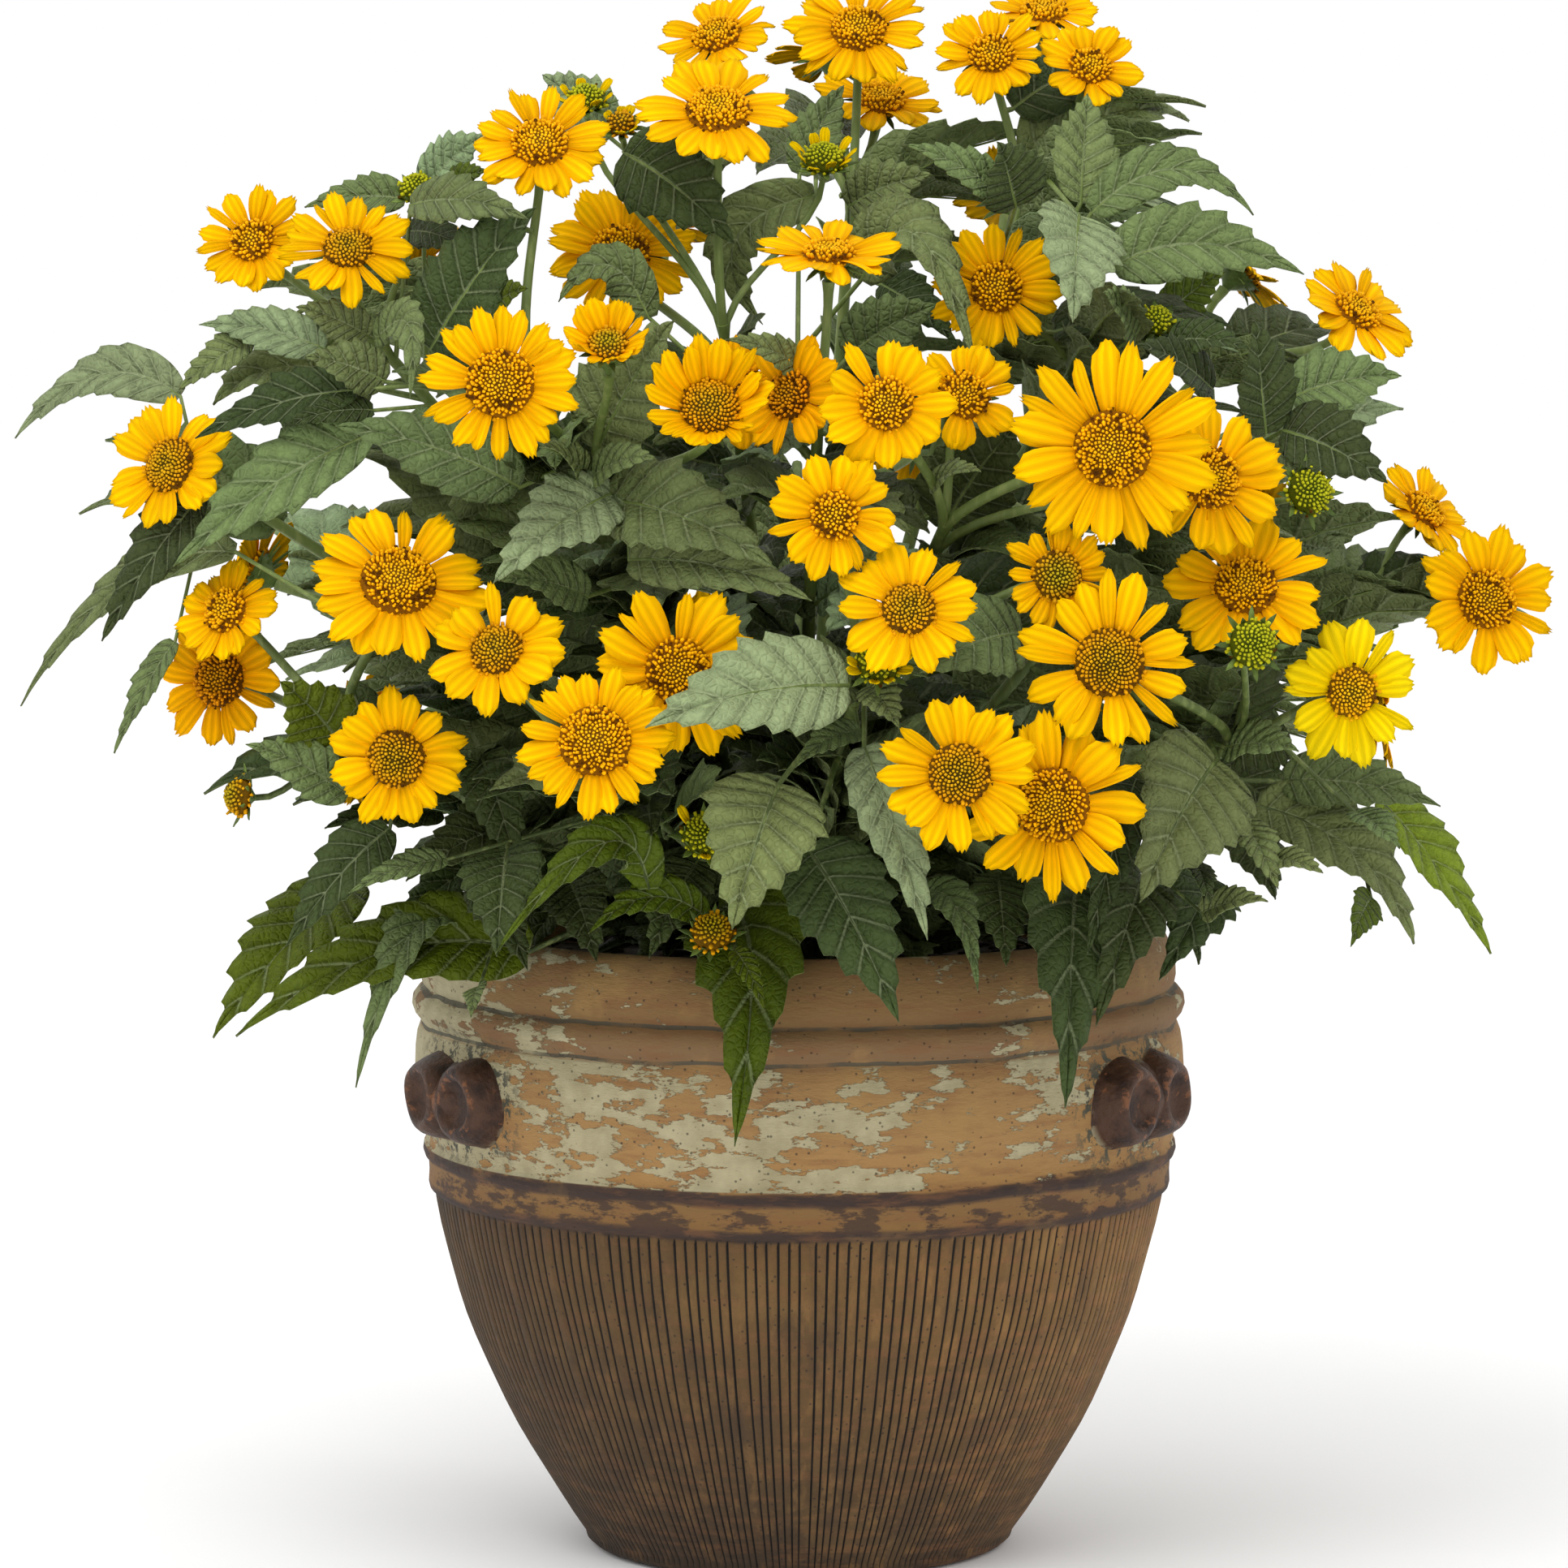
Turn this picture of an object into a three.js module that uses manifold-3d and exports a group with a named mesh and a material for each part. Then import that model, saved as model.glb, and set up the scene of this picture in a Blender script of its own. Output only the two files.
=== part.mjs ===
// A false sunflower in a hand-made terracotta pot. Leafy stems rise from one crown in the soil
// and carry yellow flower heads all round. Millimetres, +Z up, origin under the pot's middle.
import * as THREE from 'three';
import { mergeVertices } from 'three/addons/utils/BufferGeometryUtils.js';
import Module from 'manifold-3d';

const wasm = await Module();
wasm.setup();

// The pot
const potHeight = 262;
const potBelly = 160;
const wall = 13;
const floorThickness = 14;
const fluteCount = 36;
const fluteDepth = 2.4;
const collarFoot = 150;
const lugHeight = 197;
const lugReach = 172.5;
const lugTurns = [-60, 60, 180];
const knobHalfTurn = 5.5;
const drainRadius = 7;
const drainRing = 30;
const gap = 0.3;
const soilSides = 20;

// The soil and the crown
const soilTop = 238;
const crownRadius = 40;
const crownFoot = 200;

// The plant
const stemRadius = 2.6;
const stalkRadius = 1.7;
const leafThickness = 1.3;
const leafStalkHalf = 1.3;
const plantReach = point(330, 258, 330);
const plantMiddle = 330;

// The front view that places the plant: the eye stands before the pot and looks slightly down,
// and the aim is the point that the middle of the view falls on
const view = { distance: 3300, pitch: 5.6, size: 0.337, aim: [966, 966], side: -5.7, height: 318 };

// Flower heads of the front. at: middle of the disc in the front view; depth: its y;
// turn: faced to the right of the viewer; rise: faced upward; lift: rays raised from flat
const frontHeads = [
  { at: [881, 36], depth: 40, turn: -20, rise: 50, radius: 26, rays: 9, lift: 6 },
  { at: [1058, 28], depth: 20, turn: 0, rise: 40, radius: 30, rays: 9, lift: 4 },
  { at: [1086, 114], depth: 70, turn: 15, rise: 60, radius: 27, rays: 9, lift: 8 },
  { at: [1222, 62], depth: -20, turn: -5, rise: 35, radius: 23, rays: 9, lift: 6 },
  { at: [1286, 6], depth: 60, turn: 0, rise: 65, radius: 25, rays: 9, lift: 6 },
  { at: [1345, 77], depth: -10, turn: 10, rise: 40, radius: 22, rays: 9, lift: 10 },
  { at: [884, 126], depth: -110, turn: 0, rise: 50, radius: 32, rays: 10, lift: 4 },
  { at: [665, 169], depth: -120, turn: 0, rise: 40, radius: 28.5, rays: 9, lift: 4 },
  { at: [308, 293], depth: -90, turn: -15, rise: 25, radius: 23.5, rays: 9, lift: 8 },
  { at: [428, 299], depth: -120, turn: 0, rise: 40, radius: 27, rays: 9, lift: 4 },
  { at: [764, 305], depth: -62, turn: 0, rise: 30, radius: 31, rays: 10, lift: 4 },
  { at: [1021, 302], depth: -162, turn: 0, rise: 70, radius: 29, rays: 9, lift: 8 },
  { at: [1228, 351], depth: -120, turn: 0, rise: 20, radius: 27, rays: 9, lift: 4 },
  { at: [1678, 376], depth: 20, turn: 40, rise: 45, radius: 28, rays: 9, lift: 6 },
  { at: [615, 471], depth: -215, turn: -5, rise: 10, radius: 30.5, rays: 10, lift: 4 },
  { at: [749, 419], depth: -200, turn: 0, rise: 45, radius: 20, rays: 9, lift: 40 },
  { at: [875, 496], depth: -220, turn: 0, rise: 30, radius: 30, rays: 9, lift: 42 },
  { at: [905, 474], depth: -158, turn: 0, rise: 25, radius: 24, rays: 9, lift: 6 },
  { at: [968, 484], depth: -176, turn: -30, rise: 20, radius: 24, rays: 9, lift: 6 },
  { at: [1092, 496], depth: -225, turn: 0, rise: 15, radius: 26.5, rays: 9, lift: 4 },
  { at: [1191, 484], depth: -180, turn: 15, rise: 25, radius: 23, rays: 9, lift: 6 },
  { at: [1370, 553], depth: -215, turn: -5, rise: 5, radius: 42, rays: 10, lift: 2 },
  { at: [1499, 588], depth: -180, turn: 25, rise: 10, radius: 31, rays: 9, lift: 4 },
  { at: [203, 570], depth: -110, turn: -30, rise: 20, radius: 28, rays: 9, lift: 4 },
  { at: [1028, 635], depth: -235, turn: 0, rise: 5, radius: 25.5, rays: 9, lift: 4 },
  { at: [493, 709], depth: -190, turn: 10, rise: 35, radius: 36, rays: 10, lift: 2 },
  { at: [1305, 709], depth: -210, turn: 10, rise: 5, radius: 21.5, rays: 10, lift: 4 },
  { at: [1536, 716], depth: -170, turn: 0, rise: 30, radius: 32, rays: 10, lift: 4 },
  { at: [1761, 623], depth: 10, turn: 50, rise: 40, radius: 24, rays: 9, lift: 6 },
  { at: [1835, 736], depth: -60, turn: 15, rise: 15, radius: 30, rays: 9, lift: 4 },
  { at: [274, 749], depth: -125, turn: -30, rise: 25, radius: 22, rays: 9, lift: 6 },
  { at: [265, 836], depth: -100, turn: -25, rise: 10, radius: 28, rays: 9, lift: 4 },
  { at: [610, 796], depth: -215, turn: -10, rise: 30, radius: 27, rays: 9, lift: 4 },
  { at: [838, 826], depth: -225, turn: 10, rise: 10, radius: 33.5, rays: 10, lift: 4 },
  { at: [1120, 746], depth: -240, turn: 0, rise: 25, radius: 28.5, rays: 9, lift: 4 },
  { at: [1368, 815], depth: -225, turn: 0, rise: 10, radius: 35, rays: 10, lift: 2 },
  { at: [1668, 854], depth: -160, turn: 10, rise: 0, radius: 29, rays: 10, lift: 4 },
  { at: [733, 910], depth: -250, turn: 0, rise: 20, radius: 30, rays: 9, lift: 4 },
  { at: [486, 936], depth: -190, turn: -10, rise: 0, radius: 27, rays: 9, lift: 4 },
  { at: [1182, 953], depth: -250, turn: 0, rise: 10, radius: 30.5, rays: 10, lift: 4 },
  { at: [1293, 993], depth: -225, turn: -15, rise: 0, radius: 36, rays: 10, lift: 2 },
];

// Flower heads of the back and the sides, by their own place
const backHeads = [
  { place: [-232, 60, 402], turn: -110, rise: 20, radius: 29, rays: 9, lift: 4 },
  { place: [-190, 172, 322], turn: -140, rise: 10, radius: 31, rays: 10, lift: 4 },
  { place: [-130, 208, 440], turn: -150, rise: 25, radius: 30, rays: 9, lift: 4 },
  { place: [-40, 246, 352], turn: -172, rise: 12, radius: 33, rays: 10, lift: 2 },
  { place: [55, 232, 452], turn: 172, rise: 25, radius: 29, rays: 9, lift: 4 },
  { place: [120, 222, 330], turn: 150, rise: 8, radius: 32, rays: 10, lift: 4 },
  { place: [205, 165, 420], turn: 130, rise: 22, radius: 31, rays: 9, lift: 4 },
  { place: [248, 85, 345], turn: 100, rise: 12, radius: 29, rays: 9, lift: 4 },
  { place: [-60, 175, 548], turn: -165, rise: 50, radius: 28, rays: 9, lift: 6 },
  { place: [95, 165, 560], turn: 150, rise: 48, radius: 30, rays: 9, lift: 6 },
  { place: [190, 90, 530], turn: 110, rise: 45, radius: 27, rays: 9, lift: 6 },
  { place: [-165, 105, 528], turn: -125, rise: 42, radius: 28, rays: 9, lift: 6 },
  { place: [15, 110, 622], turn: 175, rise: 62, radius: 27, rays: 9, lift: 6 },
  { place: [-112, 226, 276], turn: -155, rise: 0, radius: 28, rays: 9, lift: 4 },
  { place: [38, 236, 270], turn: 172, rise: 2, radius: 29, rays: 9, lift: 4 },
];

// Buds: green knobs with spiky bracts
const buds = [
  { at: [1615, 605], depth: -110, turn: 25, rise: 50, radius: 9 },
  { at: [1545, 793], depth: -206, turn: 10, rise: 10, radius: 9.5 },
  { at: [293, 980], depth: -130, turn: -60, rise: 10, radius: 8 },
  { at: [1015, 194], depth: -60, turn: 0, rise: 60, radius: 9 },
  { at: [722, 120], depth: -60, turn: 0, rise: 60, radius: 8 },
  { at: [513, 231], depth: -95, turn: -10, rise: 50, radius: 7 },
  { at: [1083, 814], depth: -222, turn: 0, rise: 30, radius: 9 },
  { at: [878, 1147], depth: -165, turn: 0, rise: 40, radius: 10 },
  { at: [869, 1028], depth: -190, turn: 10, rise: 30, radius: 9 },
  { at: [1425, 394], depth: -120, turn: 10, rise: 40, radius: 7 },
];

// Where the main stems end, in the front view with a depth, and for the back by place
const stemTops = [
  { at: [1050, 240], depth: 25 },
  { at: [890, 400], depth: -85 },
  { at: [655, 480], depth: -135 },
  { at: [468, 425], depth: -80 },
  { at: [285, 610], depth: -70 },
  { at: [440, 905], depth: -120 },
  { at: [735, 585], depth: -140 },
  { at: [720, 930], depth: -185 },
  { at: [1008, 520], depth: -150 },
  { at: [1060, 840], depth: -185 },
  { at: [1165, 645], depth: -160 },
  { at: [1330, 445], depth: -90 },
  { at: [1560, 535], depth: -80 },
  { at: [1680, 740], depth: 0 },
  { at: [1510, 925], depth: -130 },
  { at: [1260, 250], depth: -10 },
  { place: [-195, 110, 400] },
  { place: [-110, 165, 450] },
  { place: [0, 190, 440] },
  { place: [110, 170, 470] },
  { place: [190, 100, 400] },
  { place: [-130, 40, 500] },
  { place: [170, 20, 490] },
];

// Leaves that show from the front: base and tip in the front view, width at the widest,
// an arch point that the leaf passes over where it has one, and depths where they are not
// those of the plant's rounded outside
const frontLeaves = [
  { base: [240, 500], tip: [18, 540], over: [115, 448], width: 20 },
  { base: [475, 470], tip: [375, 440], width: 19 },
  { base: [640, 600], tip: [413, 525], width: 29 },
  { base: [455, 535], tip: [213, 698], width: 30 },
  { base: [250, 610], tip: [125, 790], width: 24 },
  { base: [440, 480], tip: [240, 540], width: 20 },
  { base: [520, 235], tip: [600, 165], width: 19 },
  { base: [530, 430], tip: [660, 255], width: 36 },
  { base: [745, 165], tip: [670, 95], width: 22 },
  { base: [775, 190], tip: [905, 300], width: 30 },
  { base: [1005, 240], tip: [940, 400], over: [905, 300], width: 24 },
  { base: [1045, 255], tip: [1148, 215], width: 21 },
  { base: [1252, 255], tip: [1230, 175], width: 28 },
  { base: [1060, 345], tip: [1200, 445], over: [1130, 290], width: 27, depths: [-95, -150] },
  { base: [798, 388], tip: [680, 360], over: [745, 315], width: 19, depths: [-120, -130] },
  { base: [735, 555], tip: [830, 395], width: 36 },
  { base: [1010, 510], tip: [948, 568], width: 19, depths: [-150, -186] },
  { base: [760, 605], tip: [608, 718], width: 30 },
  { base: [745, 615], tip: [955, 700], width: 33 },
  { base: [1165, 645], tip: [1258, 520], width: 36 },
  { base: [1332, 250], tip: [1340, 115], width: 26 },
  { base: [1330, 265], tip: [1322, 397], width: 33 },
  { base: [1370, 330], tip: [1607, 338], over: [1480, 300], width: 28 },
  { base: [1345, 262], tip: [1545, 265], over: [1450, 208], width: 19 },
  { base: [1560, 535], tip: [1545, 395], width: 25 },
  { base: [1590, 490], tip: [1727, 463], width: 25 },
  { base: [1580, 530], tip: [1710, 595], width: 28 },
  { base: [290, 680], tip: [25, 870], over: [150, 720], width: 18 },
  { base: [430, 930], tip: [345, 840], width: 29 },
  { base: [430, 980], tip: [303, 917], width: 19 },
  { base: [480, 1020], tip: [353, 1165], width: 24 },
  { base: [440, 1090], tip: [262, 1278], width: 36, depths: [-70, -120] },
  { base: [640, 1120], tip: [312, 1275], over: [480, 1160], width: 33, depths: [-110, -150] },
  { base: [625, 1045], tip: [612, 1178], width: 30, depths: [-160, -215] },
  { base: [800, 1095], tip: [610, 1175], over: [740, 1040], width: 19, depths: [-175, -215] },
  { base: [560, 1140], tip: [438, 1340], over: [500, 1160], width: 20, depths: [-110, -165] },
  { base: [1045, 845], tip: [795, 896], width: 36, depths: [-222, -258] },
  { base: [960, 965], tip: [902, 1145], width: 42, depths: [-215, -250] },
  { base: [995, 1045], tip: [1108, 1260], width: 36, depths: [-185, -222] },
  { base: [1065, 920], tip: [1143, 1158], width: 25, depths: [-205, -246] },
  { base: [885, 1120], tip: [905, 1412], over: [925, 1180], width: 33, depths: [-120, -214] },
  { base: [725, 735], tip: [615, 715], width: 19 },
  { base: [775, 690], tip: [1000, 740], width: 23 },
  { base: [1260, 780], tip: [1130, 830], width: 30, depths: [-200, -236] },
  { base: [1500, 935], tip: [1405, 1112], width: 46, depths: [-150, -205] },
  { base: [1505, 912], tip: [1560, 800], width: 34, depths: [-125, -165] },
  { base: [1510, 920], tip: [1600, 925], width: 19, depths: [-140, -170] },
  { base: [1580, 962], tip: [1775, 993], width: 25, depths: [-90, -110] },
  { base: [1575, 1010], tip: [1743, 1163], width: 28, depths: [-95, -120] },
  { base: [1700, 985], tip: [1838, 1175], width: 27, depths: [-40, -50] },
  { base: [1330, 1110], tip: [1313, 1365], over: [1322, 1150], width: 34, depths: [-120, -192] },
  { base: [1395, 1090], tip: [1345, 1265], over: [1385, 1110], width: 28, depths: [-130, -178] },
];

function point(x, y, z) {
  return new THREE.Vector3(x, y, z);
}

function turnToRadians(degrees) {
  return THREE.MathUtils.degToRad(degrees);
}

// The point that a place in the front view falls on at a given depth
function spot([across, down], depth) {
  const pitch = turnToRadians(view.pitch);
  const right = (across - view.aim[0]) * view.size / view.distance;
  const up = (view.aim[1] - down) * view.size / view.distance;
  const deep = Math.cos(pitch) + up * Math.sin(pitch);
  const rise = -Math.sin(pitch) + up * Math.cos(pitch);
  const far = (depth + view.distance * Math.cos(pitch)) / deep;
  return point(view.side + far * right, depth, view.height + view.distance * Math.sin(pitch) + far * rise);
}

function facing(turn, rise) {
  const a = turnToRadians(turn);
  const b = turnToRadians(rise);
  return point(Math.sin(a) * Math.cos(b), -Math.cos(a) * Math.cos(b), Math.sin(b));
}

// A repeatable uneven value between -1 and 1
function uneven(a, b) {
  const wave = Math.sin(a * 12.9898 + b * 78.233) * 43758.5453;
  return 2 * (wave - Math.floor(wave)) - 1;
}

// A closed form from its corners and its three-cornered faces
function form(corners, faces) {
  return new wasm.Manifold(new wasm.Mesh({
    numProp: 3,
    vertProperties: Float32Array.from(corners.flatMap((corner) => corner.toArray())),
    triVerts: Uint32Array.from(faces.flat()),
  }));
}

// The same from a three.js geometry
function formOf(geometry) {
  geometry.deleteAttribute('normal');
  geometry.deleteAttribute('uv');
  const merged = mergeVertices(geometry, 1e-3);
  const corners = [];
  for (let i = 0; i < merged.attributes.position.count; i += 1) {
    corners.push(point().fromBufferAttribute(merged.attributes.position, i));
  }
  const faces = [];
  for (let i = 0; i < merged.index.count; i += 3) {
    const [a, b, c] = [0, 1, 2].map((k) => merged.index.getX(i + k));
    if (a !== b && b !== c && c !== a) faces.push([a, b, c]);
  }
  return form(corners, faces);
}

function turned(profile, sides) {
  const geometry = new THREE.LatheGeometry(profile.map(([r, z]) => new THREE.Vector2(r, z)), sides);
  return geometry.rotateX(Math.PI / 2);
}

function tube(curve, radius, sides, steps) {
  const outline = new THREE.Shape();
  for (let i = 0; i < sides; i += 1) {
    const angle = i / sides * 2 * Math.PI;
    outline[i ? 'lineTo' : 'moveTo'](radius * Math.cos(angle), radius * Math.sin(angle));
  }
  outline.closePath();
  return formOf(new THREE.ExtrudeGeometry(outline, { steps, bevelEnabled: false, extrudePath: curve }));
}

function largest(shape) {
  return shape.decompose().reduce((best, piece) => (piece.volume() > best.volume() ? piece : best));
}

function geometryOf(shape) {
  const { vertProperties, triVerts } = shape.getMesh();
  const geometry = new THREE.BufferGeometry();
  geometry.setAttribute('position', new THREE.BufferAttribute(vertProperties, 3));
  geometry.setIndex(new THREE.BufferAttribute(triVerts, 1));
  return geometry;
}

// The joined form as one body, without slivers finer than a given size or loose scraps
function cleaned(shape, finest) {
  let kept = largest(shape.simplify(finest));
  for (let i = 0; i < 3; i += 1) kept = largest(formOf(geometryOf(kept)));
  return kept;
}

function meshOf(name, shape, material) {
  const mesh = new THREE.Mesh(geometryOf(shape), material);
  mesh.name = name;
  return mesh;
}

// The pot: a combed lower body, a collar with two cords, a whitewashed band and a rolled rim,
// three pairs of thumb-pressed knobs, and drain holes round the middle of the floor
const cavity = [[74, floorThickness], [117, 70], [139, 165], [potBelly - wall - 9.5, potHeight - 22]];

function flutedBody() {
  const sides = fluteCount * 2;
  const top = collarFoot + 2;
  const geometry = turned([[0, 0], [83, 0], [90, 6], [129.5, 75], [151, top], [0, top]], sides);
  const { position } = geometry.attributes;
  for (let i = 0; i < position.count; i += 1) {
    const across = Math.hypot(position.getX(i), position.getY(i));
    const column = Math.round(Math.atan2(position.getY(i), position.getX(i)) / (2 * Math.PI) * sides);
    if (across > 85 && column % 2 !== 0) {
      const inner = (across - fluteDepth) / across;
      position.setX(i, position.getX(i) * inner);
      position.setY(i, position.getY(i) * inner);
    }
  }
  return formOf(geometry);
}

function knob(turn) {
  const profile = [[0, 140], [20, 152], [13, lugReach], [0, lugReach - 4.5]];
  const geometry = turned(profile, 8);
  geometry.rotateX(Math.PI / 2);
  geometry.rotateZ(turnToRadians(turn));
  geometry.translate(0, 0, lugHeight);
  return formOf(geometry);
}

function pot() {
  const collar = [
    [0, collarFoot], [153.6, collarFoot], [155, 164], [157, 167], [155.8, 172], [potBelly, 204],
    [157.2, 221], [160.4, 228], [155.6, 235], [157, 243], [151.5, 256.5], [145.5, potHeight],
    [138.5, 258.5], [0, 258.5],
  ];
  let clay = flutedBody().add(formOf(turned(collar, 28)));
  for (const turn of lugTurns) {
    for (const side of [-knobHalfTurn, knobHalfTurn]) {
      clay = clay.add(knob(turn + side));
    }
  }
  const open = [[0, floorThickness], ...cavity, [138.5, potHeight + 5], [0, potHeight + 5]];
  clay = clay.subtract(formOf(turned(open, soilSides)));
  for (let i = 0; i < 3; i += 1) {
    const drain = new THREE.CylinderGeometry(drainRadius, drainRadius, 3 * floorThickness, 8);
    const angle = (i + 0.5) / 3 * 2 * Math.PI;
    drain.rotateX(Math.PI / 2);
    drain.translate(drainRing * Math.cos(angle), drainRing * Math.sin(angle), 0);
    clay = clay.subtract(formOf(drain));
  }
  return clay;
}

// The soil fills the pot up to an uneven top, with a plain hole that the crown stands in
function soil() {
  const edge = cavity.map(([r, z]) => [r - gap, z]);
  edge[0][1] += gap;
  const top = edge[edge.length - 1][0];
  const profile = [[0, floorThickness + gap], ...edge, [0.7 * top, soilTop + 4], [0, soilTop + 6]];
  const geometry = turned(profile, soilSides);
  const { position } = geometry.attributes;
  for (let i = 0; i < position.count; i += 1) {
    const across = Math.hypot(position.getX(i), position.getY(i));
    if (position.getZ(i) > soilTop + 3 && across > 1) {
      const around = Math.round(Math.atan2(position.getY(i), position.getX(i)) * soilSides / (2 * Math.PI));
      position.setZ(i, position.getZ(i) + 2.5 * uneven((around + soilSides) % soilSides, 3));
    }
  }
  const holeSide = crownRadius + gap;
  const hole = [[0, crownFoot - gap], [holeSide, crownFoot - gap], [holeSide, potHeight], [0, potHeight]];
  return formOf(geometry).subtract(formOf(turned(hole, 12)));
}

// A flower head: n rays round a domed disc with a bumpy rim. The rays' roots meet the disc in a
// ring of n notches, each ray has a raised rib that gives it its thickness, and all narrow to
// one foot behind, deeper where the rays are raised
const notch = 0.42;
const discRim = 0.3;
const rayWide = 0.7;
const rayHalf = 0.42;
const rayStray = 0.06;
const rayRib = 1.4;
const rayTwist = 5;
const rayRoot = 0.9;

function footDepth(head) {
  const rise = turnToRadians(head.lift + rayTwist);
  const share = notch / (notch + (1 - notch) * Math.cos(rise));
  return (share * (1 - notch) * head.radius * Math.sin(rise) + rayRoot) / (1 - share);
}

function headFrame(head) {
  const axis = facing(head.turn, head.rise);
  const across = point(0, 0, 1).cross(axis).normalize();
  const along = axis.clone().cross(across);
  const middle = head.place ? point(...head.place) : spot(head.at, head.depth);
  middle.addScaledVector(axis, -0.15 * head.radius);
  return { axis, across, along, middle };
}

function inFrame(frame, radius, angle, height) {
  return frame.middle.clone()
    .addScaledVector(frame.across, radius * Math.cos(angle))
    .addScaledVector(frame.along, radius * Math.sin(angle))
    .addScaledVector(frame.axis, height);
}

function flowerHead(head, number) {
  const frame = headFrame(head);
  const n = head.rays;
  const r = head.radius;
  const corners = [];
  const faces = [];
  const corner = (...where) => corners.push(inFrame(frame, ...where)) - 1;
  const top = corner(0, 0, 0.13 * r);
  const foot = corner(0, 0, -footDepth(head));
  const notches = [];
  const rim = [];
  for (let i = 0; i < n; i += 1) {
    const angle = (i - 0.5) / n * 2 * Math.PI;
    notches.push(corner(notch * r, angle, 0));
    rim.push(corner(discRim * r, angle, (i % 2 ? 0.12 : 0.17) * r));
  }
  for (let i = 0; i < n; i += 1) {
    const angle = (i + rayStray * uneven(number, i)) / n * 2 * Math.PI;
    const rise = turnToRadians(head.lift + rayTwist * uneven(number, i + 30));
    const length = r * (0.97 + 0.05 * uneven(number, i + 60));
    const out = (share) => notch * r + (share * length - notch * r) * Math.cos(rise);
    const up = (share) => (share * length - notch * r) * Math.sin(rise);
    const half = rayHalf / n * 2 * Math.PI;
    const left = corner(out(rayWide), angle - half, up(rayWide));
    const right = corner(out(rayWide), angle + half, up(rayWide));
    const tip = corner(out(1), angle, up(1) - 0.03 * r);
    const rib = corner(out(rayWide), angle, up(rayWide) + rayRib);
    const start = notches[i];
    const end = notches[(i + 1) % n];
    faces.push([rib, start, left], [rib, left, tip], [rib, tip, right]);
    faces.push([rib, right, end], [rib, end, start]);
    faces.push([foot, left, start], [foot, tip, left], [foot, right, tip], [foot, end, right]);
  }
  for (let i = 0; i < n; i += 1) {
    const j = (i + 1) % n;
    faces.push([notches[i], notches[j], rim[j]], [notches[i], rim[j], rim[i]]);
    faces.push([rim[i], rim[j], top]);
  }
  return form(corners, faces);
}

// The main stems, each from its own place in the crown
function mainStem(top) {
  const end = top.place ? point(...top.place) : spot(top.at, top.depth);
  const turn = Math.atan2(end.y, end.x);
  const reach = 6 + 0.09 * Math.hypot(end.x, end.y);
  const start = point(reach * Math.cos(turn), reach * Math.sin(turn), soilTop - 6);
  const rise = end.z - start.z;
  const lean = start.clone().lerp(end, 0.12).setZ(start.z + 0.45 * rise);
  const bend = start.clone().lerp(end, 0.72).setZ(start.z + 0.82 * rise);
  return new THREE.CubicBezierCurve3(start, lean, bend, end);
}

const stemSteps = 4;
const stalkSteps = 3;
const stretches = 4;

// Places along a stem's or stalk's own straight stretches, where a stalk can join it
function joints(curve, steps, last) {
  const list = [];
  for (let i = 0; i < steps; i += 1) {
    const from = curve.getPointAt(i / steps);
    const to = curve.getPointAt((i + 1) / steps);
    const along = to.clone().sub(from).normalize();
    for (let k = 0.5; k < stretches; k += 1) {
      const share = (i + k / stretches) / steps;
      if (share <= last) list.push({ at: from.clone().lerp(to, k / stretches), along });
    }
  }
  return list;
}

// Whether a place is within a flower head's rays or disc
function inHead(place, except) {
  return headRooms.some((head) => {
    if (head === except) return false;
    const away = place.clone().sub(head.middle);
    const height = away.dot(head.axis);
    const across = away.addScaledVector(head.axis, -height).length();
    const cup = head.radius * Math.max(0.2, Math.sin(turnToRadians(head.lift)));
    return across < 1.04 * head.radius + 1 && height > -7 && height < cup + 4;
  });
}

function inPot(place) {
  const across = Math.hypot(place.x, place.y);
  const low = place.z < soilTop + 9 && across < potBelly + 4;
  return low || (place.z < potHeight + 5 && across > 131 && across < potBelly + 4);
}

// A stalk from a stem to the back of a head or bud. It starts near and lower than its end, at
// the first place from which it runs clear of the other flower heads
function stalk(head, lower) {
  const end = head.middle.clone().addScaledVector(head.axis, head.back);
  const starts = branchPoints.map((branch) => {
    const above = Math.max(0, branch.at.z - end.z + lower);
    return { ...branch, cost: branch.at.distanceTo(end) + 1.5 * above };
  });
  starts.sort((a, b) => a.cost - b.cost);
  const curves = starts.slice(0, 40).map((start) => {
    const span = start.at.distanceTo(end);
    const first = start.at.clone().addScaledVector(start.along, 0.35 * span);
    const last = end.clone().addScaledVector(head.axis, -0.35 * span);
    return new THREE.CubicBezierCurve3(start.at, first, last, end);
  });
  return curves.find((curve) => curveClear(curve, head)) || curves[0];
}

function curveClear(curve, head) {
  for (let i = 1; i < 12; i += 1) {
    const place = curve.getPoint(i / 12);
    if (inHead(place, i > 8 ? head : null) || inPot(place)) return false;
  }
  return true;
}

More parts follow.
